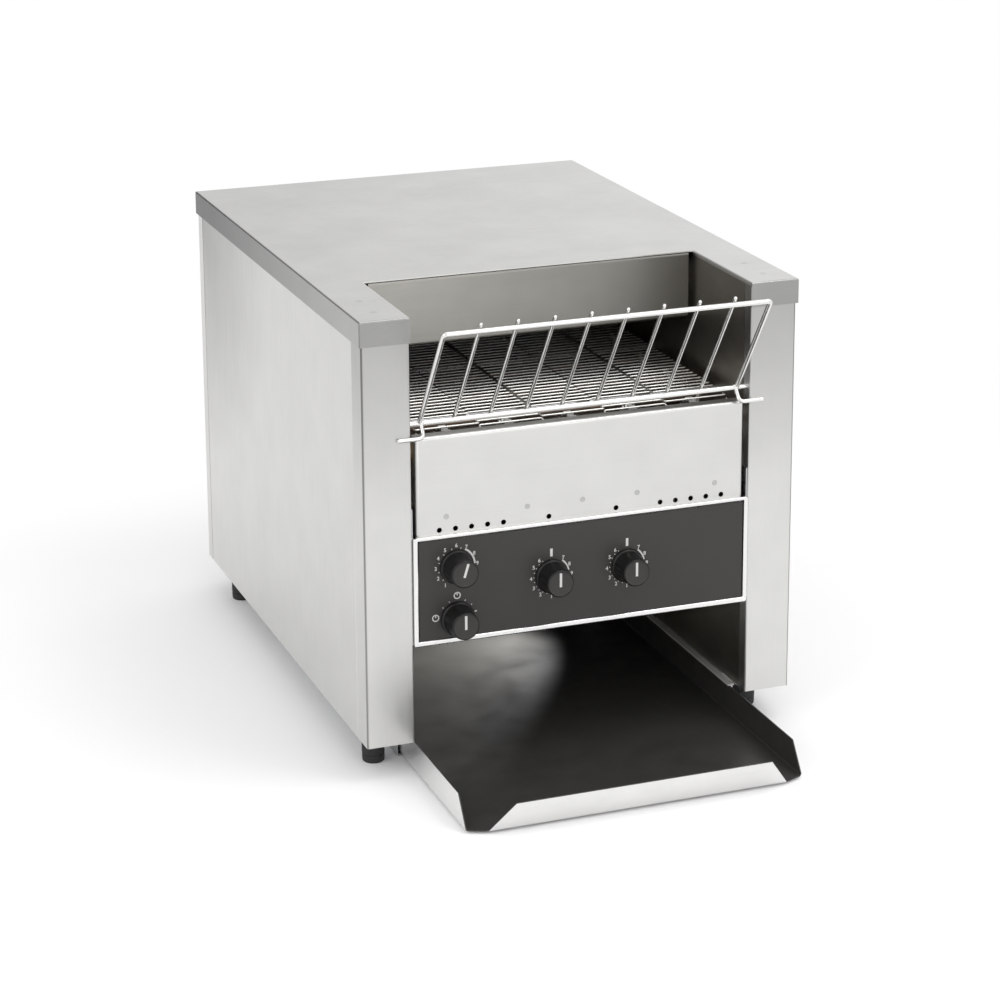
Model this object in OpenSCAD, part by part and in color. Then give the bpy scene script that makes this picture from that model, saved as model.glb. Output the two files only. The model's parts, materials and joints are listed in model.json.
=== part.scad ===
// Conveyor toaster: a stainless case with a wire belt that carries bread back
// under and over heater tubes, then drops it onto a slide and a front tray.
// Millimetres, +Z up, -Y is the front. The origin is the centre of the
// footprint, on the surface that the feet stand on.

/* [Case] */
// Width over the top cover
body_w = 370; // [340:1:420]
// Depth over the top cover
body_d = 488; // [470:1:540]
// Height from the bottom of the case to the top cover
body_h = 350; // [350:1:380]
// Width of each front column
column_w = 41; // [38:0.5:46]
// Depth of a front column's outer return
column_return = 24; // [16:1:34]
// Thickness of the case sheet
sheet = 1; // [0.8:0.1:1.5]
// Height of the top cover's down-turned flange
cover_flange = 19.5; // [12:0.5:26]
// Depth of the loading notch in the top cover
notch_d = 114; // [100:1:118]
// Width of the seams between case panels
seam = 0.4; // [0.2:0.1:0.8]

/* [Feet] */
// Height of the feet
foot_h = 30; // [24:1:40]
// Diameter of a foot
foot_d = 19; // [14:0.5:24]
// Distance from the front face to the front feet
foot_front = 45; // [30:1:70]
// Distance from the back face to the rear feet
foot_rear = 45; // [30:1:70]

/* [Belt] */
// Gap between the wire belt and each side of the heating chamber
belt_side_gap = 11; // [9:0.5:18]
// Distance from one cross wire to the next
belt_pitch = 8; // [7.6:0.1:8.4]
// Thickness of a belt wire
wire_d = 1.6; // [1.2:0.1:1.8]
// Gap between two belt wires where one lies over the next
wire_gap = 0.4; // [0.3:0.05:0.5]
// Strands across the belt, an odd number
belt_cells = 5; // [3:2:7]
// Teeth on each belt sprocket
sprocket_teeth = 18; // [17:1:19]
// Depth of the case less the distance between the belt's two shafts
run_less = 120; // [112:1:128]
// Distance from the top of the cover down to the top of the belt
belt_down = 96; // [94:0.5:100]
// Distance from the front face to the belt's nose
belt_nose = 6.5; // [5:0.5:9]
// Diameter of the belt shafts
shaft_d = 10; // [8:0.5:12]

/* [Heating] */
// Height of the tunnel mouth over the belt
mouth_h = 39; // [34:0.5:42]
// Diameter of a heater tube
heater_d = 8; // [6:0.5:10]
// Heater tubes above the belt
upper_heater_count = 5; // [3:1:6]
// Heater tubes between the belt's runs
lower_heater_count = 4; // [3:1:5]

/* [Front] */
// Gap between the upper front panel and a column
panel_gap = 4; // [3:0.5:6]
// Distance from the top of the belt down to the upper front panel's top edge
panel_down = 2.5; // [2:0.5:8]
// Distance from the top of the belt down to the control panel's top edge
bezel_down = 83; // [80:0.5:86]
// Height of the control panel
bezel_h = 90.5; // [86:0.5:94]
// Width of the control panel's bright border
bezel_border = 4.2; // [3:0.1:6]
// Diameter of the vent holes in the front panel
vent_hole_d = 4.2; // [3:0.1:5]
// Distance between vent holes in a group
vent_pitch = 13.4; // [10:0.1:14]
// Vent holes in each outer group
vent_group = 5; // [3:1:6]

/* [Knobs] */
// Diameter of a knob's skirt
knob_d = 28; // [24:0.5:30]
// Diameter of a knob's face
knob_face_d = 22.5; // [18:0.5:24]
// Height of a knob
knob_h = 20.5; // [16:0.5:24]
// Diameter of a control spindle
spindle_d = 6; // [5:0.25:7]
// Pointer of the belt speed knob at rest, degrees clockwise from straight up
speed_pointer = 17; // [-90:1:90]

/* [Feed rack] */
// Diameter of the rack's long rods
rack_rod_d = 4.4; // [3.6:0.1:5]
// Diameter of the rack's slanted wires
rack_wire_d = 3.2; // [2.6:0.1:4]
// Distance from one slanted wire to the next
rack_pitch = 30; // [28:0.1:30.4]
// Slanted wires, end wires included
rack_wires = 10; // [8:2:10]
// Forward lean of the rack from upright
rack_lean = 34.7; // [28:0.1:38]
// Distance between the rack's two long rods
rack_h = 105; // [95:0.5:106]
// Height of the rack's pivot above the belt's top
rack_pivot_up = 8.4; // [7:0.1:10]

/* [Toast tray] */
// Distance that the tray's floor reaches in front of the case
tray_front = 119; // [100:1:140]
// Height of the tray's side walls
tray_wall_h = 25; // [20:0.5:27]
// Length of the tray's front lip, up its slope
tray_lip = 28; // [20:0.5:34]
// Lean of the front lip from upright
tray_lip_lean = 25; // [10:1:40]
// Distance from the case's back to the tray's rear edge, under the slide
tray_back_gap = 188; // [180:1:210]

/* [Slide] */
// Radius of the slide's bend
slide_r = 110; // [100:1:115]
// Slope of the slide's lower end below level
slide_slope = 28; // [26:1:30]
// Width of the drop between the belt's end and the slide
drop_gap = 43; // [38:1:46]

/* [Fan] */
// Outer size of the cooling fan
fan_size = 80; // [70:1:82]
// Depth of the cooling fan
fan_depth = 25; // [20:1:28]
// Blades on the fan
fan_blades = 7; // [5:1:9]

/* [Hidden] */

$fn = 48;

// Fits
seat_gap = 0.3;        // clearance of a loose seat
run_gap = 0.05;        // radial clearance of a running fit
cover_gap = 0.5;       // between the cover's flange and the panels inside it

// Case levels and faces
floor_z = foot_h;                              // bottom of the case
top_z = floor_z + body_h;                      // top of the cover
cover_over = sheet + cover_gap;                // how far the cover stands proud of the panels
skin_x = body_w / 2 - cover_over;              // outer face of a side panel
skin_in = skin_x - sheet;                      // inner face of a side panel
inner_x = body_w / 2 - column_w;               // inner face of an inner wall
wall_x = inner_x + sheet;                      // outer face of an inner wall
rear_y = body_d - 2 * cover_over;              // outer face of the rear panel
rear_in = rear_y - sheet;                      // inner face of the rear panel
under_cover = top_z - sheet;                   // underside of the top cover
deck_z = floor_z + sheet;                      // top of the base plate
column_inner_return = 12;
rear_return = 14;
panel_return = 8;

// Belt loop: two straight runs and two half turns round the shafts
belt_r = sprocket_teeth * belt_pitch / (2 * PI);
belt_w = 2 * (inner_x - belt_side_gap);
belt_top = body_h - belt_down;
run_pitches = round((body_d - run_less) / belt_pitch);
belt_run = run_pitches * belt_pitch;
belt_rungs = 2 * run_pitches + sprocket_teeth;
wire_drop = wire_d + wire_gap;
wire_tilt = asin(wire_drop / belt_pitch);
belt_half_t = wire_d / 2 * cos(wire_tilt) + wire_d / 2 * sin(wire_tilt);
axis_z = floor_z + belt_top - belt_r - belt_half_t;
front_axis_y = belt_nose + belt_r + belt_half_t;
rear_axis_y = front_axis_y + belt_run;
belt_inside_r = belt_r - wire_drop - belt_half_t;
belt_end_y = rear_axis_y + belt_r + belt_half_t;
cell_w = belt_w / belt_cells;

// Sprockets and the rails between them
sprocket_tip_r = belt_inside_r - 0.4;
sprocket_root_r = sprocket_tip_r - 2.4;
sprocket_w = 6;
hub_r = 9;
hub_w = 14;
rail_w = 3;
rail_h = 6;
rail_top = axis_z + belt_inside_r - seat_gap;
rail_clear = 7;
rod_r = 3;
rod_z = rail_top - rail_h - rod_r;
rod_ys = [for (i = [0 : 2]) front_axis_y + belt_run * (0.12 + 0.38 * i)];

// Bushes and drive
bush_wall = 2;
bush_r = shaft_d / 2 + run_gap + bush_wall;
bush_flange_r = bush_r + 3;
bush_flange_t = 2.5;
shaft_end_x = wall_x + 7;
drive_end_x = wall_x + 13;
coupling_r = 8;
coupling_x0 = wall_x + 5;
coupling_x1 = drive_end_x + 4;
motor_shaft_r = 4;
motor_x0 = coupling_x1 + 1;
gearbox_t = 8;
gearbox_half = 28;
motor_can_r = 26;
motor_post_at = 22;
motor_post_r = 3;

// Heating chamber
belt_top_z = floor_z + belt_top;
mouth_z = belt_top_z + mouth_h;                 // lower edge of the hood's front
heater_r = heater_d / 2;
upper_heater_z = mouth_z + 10;
lower_heater_z = axis_z - 4;
heater_gap = 0.05;
insulator_r = heater_r + 3;
insulator_flange_r = insulator_r + 2.5;
hood_return = 12;
hood_end_y = rear_axis_y + 40;
upper_first_y = notch_d + 36;
upper_last_y = hood_end_y - 48.4;
lower_first_y = front_axis_y + 74.5;
lower_last_y = rear_axis_y - 113.5;
upper_heater_ys = [for (i = [0 : upper_heater_count - 1])
    upper_first_y + i * (upper_last_y - upper_first_y) / (upper_heater_count - 1)];
lower_heater_ys = [for (i = [0 : lower_heater_count - 1])
    lower_first_y + i * (lower_last_y - lower_first_y) / (lower_heater_count - 1)];
insulation_air = 12;                            // air between the insulation and the cover
reflector_z = mouth_z + 23;
reflector_flange = 10;
side_fit = 0.1;                                 // between cross pieces and the inner walls
deck_plate_z = axis_z - belt_r - wire_drop - 10;  // top of the plate under the belt
deck_side_h = 8;
deck_rear_drop = 12;

// Front panel and control panel
panel_x = inner_x - panel_gap;
panel_y = 2;
panel_top_z = belt_top_z - panel_down;
panel_flange = 11;
bezel_top = belt_top - bezel_down;
bezel_top_z = floor_z + bezel_top;
bezel_bottom_z = bezel_top_z - bezel_h;
bezel_x = inner_x - 0.4;
bezel_proud = 2;
plate_fit = 0.2;
plate_back = 0.8;                               // plate's face behind the case's front face
plate_t = 1.5;
panel_lap = 9;                                  // front panel behind the bezel's top border
vent_z = bezel_top_z + 3.4;
vent_inner = 67.2;
vent_middle = 28.8;
box_back_y = 88;
rail_h_box = 8;

// Controls: [x, height above the bottom of the case], from the panel's top left corner
speed_at = [35.8 - bezel_x, bezel_top - 27.2];
selector_at = [36.1 - bezel_x, bezel_top - 70.5];
top_heat_at = [115.8 - bezel_x, bezel_top - 45.7];
bottom_heat_at = [181 - bezel_x, bezel_top - 45.3];
knob_seat = 0.5;                                // gap under a knob
spindle_r = spindle_d / 2;
control_r = 13;
control_d = 23;
bush_thread_r = spindle_r + 1.5;
bush_front = 0.2;                               // control's bush in front of the plate
pointer_w = 2;
pointer_l = knob_face_d * 0.42;
pointer_deep = 0.5;
board_w = 90;
board_h = 55;
board_x = 33.6 - bezel_x;
board_off = 8;                                  // gap between the board and the box's back

// Feed rack
rack_rod_r = rack_rod_d / 2;
rack_wire_r = rack_wire_d / 2;
rack_pivot_y = 6;
rack_pivot_z = belt_top_z + rack_pivot_up;
rack_x = rack_pitch * (rack_wires - 1) / 2;
rack_weld = 0.4;                                // how far crossing wires sink into each other
rack_nub = 3;
rack_bead = 0.15;                               // by which a weld bead is thicker than its rod
rack_tail_r = 1.8;
rack_tail_y = -rack_tail_r - 0.2;               // tails rest on the front of the columns
rack_tail_drop = 10;
rack_tail_x = inner_x + 12;
rack_pivot_end = wall_x + 2;

// Toast tray and its runners
tray_x = inner_x - 2;
runner_y0 = 45;
runner_y1 = body_d - tray_back_gap + 20;
runner_low = 0.6;
runner_lip = 10;
runner_flange = 10;
runner_x = tray_x + 1.5;
tray_z = runner_low + sheet + seat_gap;         // underside of the tray
tray_rear = body_d - tray_back_gap;
tray_corner_x = 17;
tray_corner_y = 7;
tray_wall_back = 16;
tray_mitre = 18;

// Slide that carries the toast from the belt's end to the tray
slide_y = belt_end_y + drop_gap;
slide_end_z = tray_z + sheet + 2.2;
slide_end_y = tray_rear - 9;
slide_c_y = slide_y - slide_r;
slide_turn = 90 - slide_slope;
slide_arc_y = slide_c_y + slide_r * cos(slide_turn);
slide_straight = (slide_arc_y - slide_end_y) / cos(slide_slope);
slide_arc_z = slide_end_z + slide_straight * sin(slide_slope);
slide_c_z = slide_arc_z + slide_r * sin(slide_turn);
slide_top_z = axis_z + 85;
slide_lap = 0.2;                                // by which the slide's flats run into its bend
slide_narrow_x = tray_x - sheet - 1.5;
base_cut_y = slide_end_y + (floor_z + 8 - slide_end_z) / tan(slide_slope);

// Feet, posts, fan, gland
foot_x = (inner_x + body_w / 2) / 2;
foot_ys = [foot_front, rear_y - foot_rear];
stud_r = 3;
post_w = 11;
post_t = 1.5;
fan_z = deck_z + fan_size / 2 + 7;
fan_bore_r = fan_size / 2 - 2;
fan_rotor_r = fan_bore_r - 2;
fan_hub_r = 17;
fan_pin_r = 2;
gland_r = 7;
gland_flange_r = 10.5;
gland_out = 6;
gland_x = -(wall_x + skin_in - post_w) / 2;
gland_z = floor_z + 34;
terminal_gap = 110;                             // from the rear panel to the terminal block's front
screw_r = 1.5;
screw_head_r = 3.5;
screw_x = skin_in - post_w / 2;
screw_end_gap = 30;
screw_zs = [floor_z + screw_end_gap, floor_z + body_h / 2, top_z - screw_end_gap - 10];

// The footprint's centre, from the tray's lip to the cord gland
front_reach = tray_front + tray_lip * sin(tray_lip_lean);
rear_reach = rear_y + gland_out;
mid_y = (rear_reach - front_reach) / 2;

// ---- shared shapes ----

module at_origin() {
    translate([0, -mid_y, 0]) children();
}

// A block from its lowest to its highest corner
module block(low, high) {
    translate(low) cube(high - low);
}

module both_sides() {
    children();
    mirror([1, 0, 0]) children();
}

module on_left() {
    mirror([1, 0, 0]) children();
}

// A cylinder along X between two x values
module x_rod(x0, x1, y, z, r) {
    translate([x0, y, z]) rotate([0, 90, 0]) cylinder(h = x1 - x0, r = r);
}

// A cylinder along Y between two y values
module y_rod(x, y0, y1, z, r) {
    translate([x, y0, z]) rotate([-90, 0, 0]) cylinder(h = y1 - y0, r = r);
}

// A round wire between two points in the YZ plane at one x
module yz_wire(x, a, b, r) {
    span = b - a;
    translate([x, a[0], a[1]])
        rotate([atan2(span[1], span[0]) - 90, 0, 0]) cylinder(h = norm(span), r = r);
}

// A slot along Z through the rear panel
module rear_slot(x, z0, z1, w) {
    block([x - w / 2, rear_in - 1, z0], [x + w / 2, rear_y + 1, z1]);
    y_rod(x, rear_in - 1, rear_y + 1, z0, w / 2);
    y_rod(x, rear_in - 1, rear_y + 1, z1, w / 2);
}

// ---- case ----

module top_cover() {
    color("gainsboro") at_origin() difference() {
        block([-body_w / 2, -cover_over, top_z - cover_flange - sheet],
              [body_w / 2, rear_y + cover_over, top_z]);
        block([-body_w / 2 + sheet, -cover_gap, 0],
              [body_w / 2 - sheet, rear_y + cover_gap, under_cover]);
        block([-inner_x, -cover_over - 1, 0], [inner_x, notch_d, top_z + 1]);
    }
}

module side_panel() {
    y0 = column_return + seam;
    y1 = rear_y - rear_return - seam;
    block([skin_in, y0, floor_z], [skin_x, y1, under_cover]);
    block([skin_in - panel_return, y0, deck_z], [skin_in, y0 + sheet, under_cover]);
}

module left_side_panel() {
    color("silver") at_origin() on_left() side_panel();
}

module right_side_panel() {
    color("silver") at_origin() side_panel();
}

module column() {
    difference() {
        union() {
            block([inner_x, 0, floor_z], [skin_x, sheet, under_cover]);
            block([skin_in, 0, floor_z], [skin_x, column_return, under_cover]);
            block([inner_x, 0, deck_z], [wall_x, column_inner_return, under_cover]);
        }
        x_rod(inner_x - 1, wall_x + 1, rack_pivot_y, rack_pivot_z, rack_rod_r + run_gap);
    }
}

module left_column() {
    color("lightgray") at_origin() on_left() column();
}

module right_column() {
    color("lightgray") at_origin() column();
}

// The side of the heating chamber: holes for bushes, heaters, cross rods
module inner_wall() {
    difference() {
        block([inner_x, column_inner_return + seam, deck_z], [wall_x, rear_in, under_cover]);
        for (y = [front_axis_y, rear_axis_y])
            x_rod(inner_x - 1, wall_x + 1, y, axis_z, bush_r + run_gap);
        for (y = upper_heater_ys)
            x_rod(inner_x - 1, wall_x + 1, y, upper_heater_z, insulator_r + run_gap);
        for (y = lower_heater_ys)
            x_rod(inner_x - 1, wall_x + 1, y, lower_heater_z, insulator_r + run_gap);
        for (y = rod_ys)
            x_rod(inner_x - 1, wall_x + 1, y, rod_z, rod_r + run_gap);
    }
}

module left_inner_wall() {
    color("dimgray") at_origin() on_left() inner_wall();
}

module right_inner_wall() {
    color("dimgray") at_origin() inner_wall();
}

module rear_panel() {
    vent_rows = 15;
    slot_pitch = 16;
    ring_pitch = 9;
    color("silver") at_origin() difference() {
        union() {
            block([-skin_x, rear_in, floor_z], [skin_x, rear_y, under_cover]);
            both_sides() block([skin_in, rear_y - rear_return, floor_z], [skin_x, rear_y, under_cover]);
        }
        for (i = [0 : vent_rows - 1])
            rear_slot((i - (vent_rows - 1) / 2) * slot_pitch, top_z - 100, top_z - 55, 4);
        for (ring = [1 : 3])
            for (i = [0 : ring * 6 - 1])
                y_rod(ring * ring_pitch * cos(i * 60 / ring), rear_in - 1, rear_y + 1,
                      fan_z + ring * ring_pitch * sin(i * 60 / ring), 3);
        y_rod(gland_x, rear_in - 1, rear_y + 1, gland_z, gland_r + run_gap);
        for (x = [-screw_x, screw_x])
            for (z = screw_zs)
                y_rod(x, rear_in - 1, rear_y + 1, z, screw_r + run_gap);
    }
}

module base_plate() {
    color("darkgray") at_origin() difference() {
        block([-skin_in, sheet, floor_z], [skin_in, rear_in, deck_z]);
        block([-inner_x, 0, 0], [inner_x, base_cut_y, deck_z + 1]);
        both_sides() for (y = foot_ys)
            translate([foot_x, y, 0]) cylinder(h = deck_z + 1, r = stud_r + 0.2);
    }
}

module rear_post() {
    difference() {
        union() {
            block([skin_in - post_w, rear_in - post_t, deck_z], [skin_in, rear_in, under_cover]);
            block([skin_in - post_t, rear_in - post_w, deck_z], [skin_in, rear_in, under_cover]);
        }
        for (z = screw_zs)
            y_rod(screw_x, rear_in - post_t - 1, rear_in + 1, z, screw_r + run_gap);
    }
}

module left_rear_post() {
    color("darkgray") at_origin() on_left() rear_post();
}

module right_rear_post() {
    color("darkgray") at_origin() rear_post();
}

module feet() {
    color("black") at_origin() both_sides() for (y = foot_ys)
        translate([foot_x, y, 0]) {
            rotate_extrude() polygon([[0, 0], [foot_d / 2 - 1.5, 0], [foot_d / 2 - 0.5, 1],
                [foot_d / 2, foot_h - 5], [foot_d / 2 - 1, foot_h], [0, foot_h]]);
            cylinder(h = foot_h + 9, r = stud_r);
        }
}

module foot_nuts() {
    color("silver") at_origin() both_sides() for (y = foot_ys)
        translate([foot_x, y, deck_z]) difference() {
            cylinder(h = 5, r = 5.8, $fn = 6);
            translate([0, 0, -1]) cylinder(h = 7, r = stud_r + run_gap);
        }
}

module rear_screws() {
    color("silver") at_origin() for (x = [-screw_x, screw_x])
        for (z = screw_zs) {
            y_rod(x, rear_in - 6, rear_y, z, screw_r);
            translate([x, rear_y, z]) rotate([-90, 0, 0])
                cylinder(h = 2, r1 = screw_head_r, r2 = screw_head_r - 1);
        }
}

// ---- heating chamber ----

module hood_front() {
    color("silver") at_origin() {
        block([-panel_x, notch_d, mouth_z], [panel_x, notch_d + sheet, under_cover]);
        block([-panel_x, notch_d, mouth_z], [panel_x, notch_d + hood_return, mouth_z + sheet]);
        block([-panel_x, notch_d, under_cover - sheet],
              [panel_x, notch_d + hood_return, under_cover]);
    }
}

// The roof over the upper heaters, open below, held by its side flanges
module upper_reflector() {
    y0 = notch_d + hood_return + 1;
    x1 = inner_x - side_fit;
    color("gray") at_origin() {
        block([-x1, y0, reflector_z], [x1, hood_end_y, reflector_z + sheet]);
        block([-x1, y0, mouth_z], [x1, y0 + sheet, reflector_z + sheet]);
        block([-x1, hood_end_y - sheet, mouth_z], [x1, hood_end_y, reflector_z + sheet]);
        both_sides() block([x1 - sheet, y0, reflector_z],
                           [x1, hood_end_y, reflector_z + reflector_flange]);
    }
}

module hood_insulation() {
    color("beige") at_origin()
        block([-inner_x + 1.5, notch_d + hood_return + 2, reflector_z + sheet + seat_gap],
              [inner_x - 1.5, hood_end_y - 2, under_cover - insulation_air]);
}

module heater_row(ys, z) {
    for (y = ys) {
        x_rod(-wall_x - 5, wall_x + 5, y, z, heater_r);
        both_sides() x_rod(wall_x + 4, wall_x + 14, y, z, 1.5);
    }
}

module upper_heaters() {
    color("saddlebrown") at_origin() heater_row(upper_heater_ys, upper_heater_z);
}

module lower_heaters() {
    color("saddlebrown") at_origin() heater_row(lower_heater_ys, lower_heater_z);
}

// Ceramic bushes that hold the heater tubes in the inner walls
module insulator(y, z) {
    difference() {
        union() {
            x_rod(inner_x - 1.5, wall_x + 3, y, z, insulator_r);
            x_rod(wall_x, wall_x + 3, y, z, insulator_flange_r);
        }
        x_rod(inner_x - 3, wall_x + 4, y, z, heater_r + heater_gap);
    }
}

module heater_insulators() {
    color("white") at_origin() both_sides() {
        for (y = upper_heater_ys)
            insulator(y, upper_heater_z);
        for (y = lower_heater_ys)
            insulator(y, lower_heater_z);
    }
}

// The plate under the belt that keeps crumbs and heat out of the exit
module lower_deck() {
    x1 = inner_x - side_fit;
    y0 = panel_y + panel_flange + 1;
    y1 = belt_end_y + 2;
    color("gray") at_origin() {
        block([-x1, y0, deck_plate_z - sheet], [x1, y1, deck_plate_z]);
        both_sides() block([x1 - sheet, y0, deck_plate_z - sheet], [x1, y1, deck_plate_z + deck_side_h]);
        block([-x1, y1 - sheet, deck_plate_z - deck_rear_drop], [x1, y1, deck_plate_z]);
    }
}

// ---- wire belt ----

// Point on the belt loop at distance s along it, as [y, z]
function loop_point(s) =
    let (half = PI * belt_r, turn = belt_run + half)
    s < belt_run ? [front_axis_y + s, axis_z + belt_r]
    : s < turn ? let (a = 90 - (s - belt_run) / belt_r * 180 / PI)
        [rear_axis_y + belt_r * cos(a), axis_z + belt_r * sin(a)]
    : s < turn + belt_run ? [rear_axis_y - (s - turn), axis_z - belt_r]
    : let (a = -90 - (s - turn - belt_run) / belt_r * 180 / PI)
        [front_axis_y + belt_r * cos(a), axis_z + belt_r * sin(a)];

// One side of a square-wave wire: level 0 in even cells, reach in odd ones.
// side is 1 for the far edge and -1 for the near edge.
function wave_edge(reach, side) = let (h = wire_d / 2) [
    [-belt_w / 2 + side * h, reach * 0.7],
    for (i = [0 : belt_cells - 1])
        let (level = i % 2 == 0 ? 0 : reach,
             x0 = -belt_w / 2 + i * cell_w, x1 = x0 + cell_w,
             in_side = i % 2 == 0 ? 1 : -1)
        for (p = [[x0 + side * in_side * h, level + side * h],
                  [x1 - side * in_side * h, level + side * h]]) p,
    [belt_w / 2 - side * h, reach * 0.7]];

function reversed(list) = [for (i = [len(list) - 1 : -1 : 0]) list[i]];

// One cross wire, in the plane z = 0, running from y = 0 to y = reach
module rung(reach) {
    near = wave_edge(reach, -1);
    far = wave_edge(reach, 1);
    linear_extrude(wire_d, center = true)
        polygon(concat(far, reversed(near)));
}

// Every wire starts on the loop and dips under the next one
module belt() {
    color("slategray") at_origin()
        for (k = [0 : belt_rungs - 1]) {
            here = loop_point(k * belt_pitch);
            next = loop_point(((k + 1) % belt_rungs) * belt_pitch);
            step = next - here;
            translate([0, here[0], here[1]])
                rotate([atan2(step[1], step[0]) - wire_tilt, 0, 0])
                    rung(norm(step) * cos(wire_tilt));
        }
}

// A toothed wheel in the plane x = 0, centred on the X axis
module sprocket() {
    tooth = 360 / sprocket_teeth;
    difference() {
        rotate([90, 0, 90]) linear_extrude(sprocket_w, center = true)
            polygon([for (i = [0 : sprocket_teeth - 1])
                for (p = [[sprocket_root_r, 0], [sprocket_root_r, 0.3],
                          [sprocket_tip_r, 0.45], [sprocket_tip_r, 0.65], [sprocket_root_r, 0.8]])
                    p[0] * [cos((i + p[1]) * tooth), sin((i + p[1]) * tooth)]]);
        x_rod(-sprocket_w, sprocket_w, 0, 0, hub_r - 1);
    }
    difference() {
        x_rod(-hub_w / 2, hub_w / 2, 0, 0, hub_r);
        x_rod(-hub_w, hub_w, 0, 0, shaft_d / 2 + run_gap);
    }
}

module sprocket_row(y) {
    for (i = [0 : belt_cells - 1])
        translate([(i - (belt_cells - 1) / 2) * cell_w, y, axis_z]) sprocket();
}

module front_sprockets() {
    color("dimgray") at_origin() sprocket_row(front_axis_y);
}

module rear_sprockets() {
    color("dimgray") at_origin() sprocket_row(rear_axis_y);
}

module front_shaft() {
    color("silver") at_origin()
        x_rod(-shaft_end_x, shaft_end_x, front_axis_y, axis_z, shaft_d / 2);
}

module rear_shaft() {
    color("silver") at_origin()
        x_rod(-shaft_end_x, drive_end_x, rear_axis_y, axis_z, shaft_d / 2);
}

module bush_pair(y) {
    both_sides() difference() {
        union() {
            x_rod(inner_x - bush_flange_t, wall_x + 3, y, axis_z, bush_r);
            x_rod(inner_x - bush_flange_t, inner_x, y, axis_z, bush_flange_r);
        }
        x_rod(inner_x - 5, wall_x + 4, y, axis_z, shaft_d / 2 + run_gap);
    }
}

module front_bushes() {
    color("darkgoldenrod") at_origin() bush_pair(front_axis_y);
}

module rear_bushes() {
    color("darkgoldenrod") at_origin() bush_pair(rear_axis_y);
}

// Rails that the belt slides on, between the sprockets, on three cross rods
module belt_rails() {
    y0 = front_axis_y + sprocket_tip_r + rail_clear;
    y1 = rear_axis_y - sprocket_tip_r - rail_clear;
    color("gray") at_origin() for (i = [1 : belt_cells - 1])
        translate([(i - belt_cells / 2) * cell_w, 0, 0])
            block([-rail_w / 2, y0, rail_top - rail_h], [rail_w / 2, y1, rail_top]);
}

module rail_cross_rods() {
    color("silver") at_origin() for (y = rod_ys)
        x_rod(-wall_x - 3, wall_x + 3, y, rod_z, rod_r);
}

module drive_coupling() {
    color("darkgray") at_origin() {
        difference() {
            x_rod(coupling_x0, coupling_x1, rear_axis_y, axis_z, coupling_r);
            x_rod(coupling_x0 - 1, drive_end_x + 0.2, rear_axis_y, axis_z, shaft_d / 2 + run_gap);
        }
        x_rod(coupling_x1 - 1, motor_x0 + gearbox_t - 2, rear_axis_y, axis_z, motor_shaft_r);
    }
}

module gear_motor() {
    x1 = motor_x0 + gearbox_t;
    color("dimgray") at_origin() difference() {
        union() {
            block([motor_x0, rear_axis_y - gearbox_half, axis_z - gearbox_half],
                  [x1, rear_axis_y + gearbox_half, axis_z + gearbox_half]);
            x_rod(x1, skin_in - 1, rear_axis_y, axis_z, motor_can_r);
        }
        x_rod(motor_x0 - 1, x1 - 1, rear_axis_y, axis_z, motor_shaft_r + run_gap);
    }
}

module motor_posts() {
    color("silver") at_origin() for (dy = [-motor_post_at, motor_post_at])
        for (dz = [-motor_post_at, motor_post_at])
            x_rod(wall_x, motor_x0, rear_axis_y + dy, axis_z + dz, motor_post_r);
}

// ---- front and controls ----

module front_panel() {
    z0 = bezel_top_z - panel_lap;
    z1 = panel_top_z;
    back = panel_y + panel_flange;
    color("whitesmoke") at_origin() difference() {
        union() {
            block([-panel_x, panel_y, z0], [panel_x, panel_y + sheet, z1]);
            block([-panel_x, panel_y, z1 - sheet], [panel_x, back, z1]);
            both_sides() block([panel_x - sheet, panel_y, bezel_top_z], [panel_x, back, z1]);
        }
        both_sides() {
            for (i = [0 : vent_group - 1])
                y_rod(vent_inner + i * vent_pitch, 0, panel_y + sheet + 1, vent_z, vent_hole_d / 2);
            y_rod(vent_middle, 0, panel_y + sheet + 1, vent_z, vent_hole_d / 2);
        }
    }
}

module control_bezel() {
    color("gainsboro") at_origin() difference() {
        block([-bezel_x, -bezel_proud, bezel_bottom_z], [bezel_x, panel_y, bezel_top_z]);
        block([-bezel_x + bezel_border, -bezel_proud - 1, bezel_bottom_z + bezel_border],
              [bezel_x - bezel_border, panel_y + 1, bezel_top_z - bezel_border]);
    }
}

module control_plate() {
    x1 = bezel_x - bezel_border - plate_fit;
    color("#3d3b38") at_origin() difference() {
        block([-x1, -plate_back, bezel_bottom_z + bezel_border + plate_fit],
              [x1, -plate_back + plate_t, bezel_top_z - bezel_border - plate_fit]);
        for (at = [speed_at, selector_at, top_heat_at, bottom_heat_at])
            y_rod(at[0], -plate_back - 1, plate_t + 1, floor_z + at[1], bush_thread_r + run_gap);
    }
}

// The box behind the control panel, with a rail that the front panel is fixed to
module control_box() {
    x1 = inner_x - side_fit;
    z0 = bezel_bottom_z + 1.5;
    z1 = deck_plate_z - sheet;
    rail_z = bezel_top_z - panel_lap;
    color("darkgray") at_origin() {
        block([-x1, panel_y, z0], [x1, box_back_y, z0 + sheet]);
        block([-x1, box_back_y - sheet, z0], [x1, box_back_y, z1]);
        both_sides() block([x1 - sheet, panel_y, z0], [x1, box_back_y, z1]);
        block([-x1, panel_y + sheet, rail_z], [x1, panel_y + 2 * sheet, rail_z + rail_h_box]);
    }
}

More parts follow.
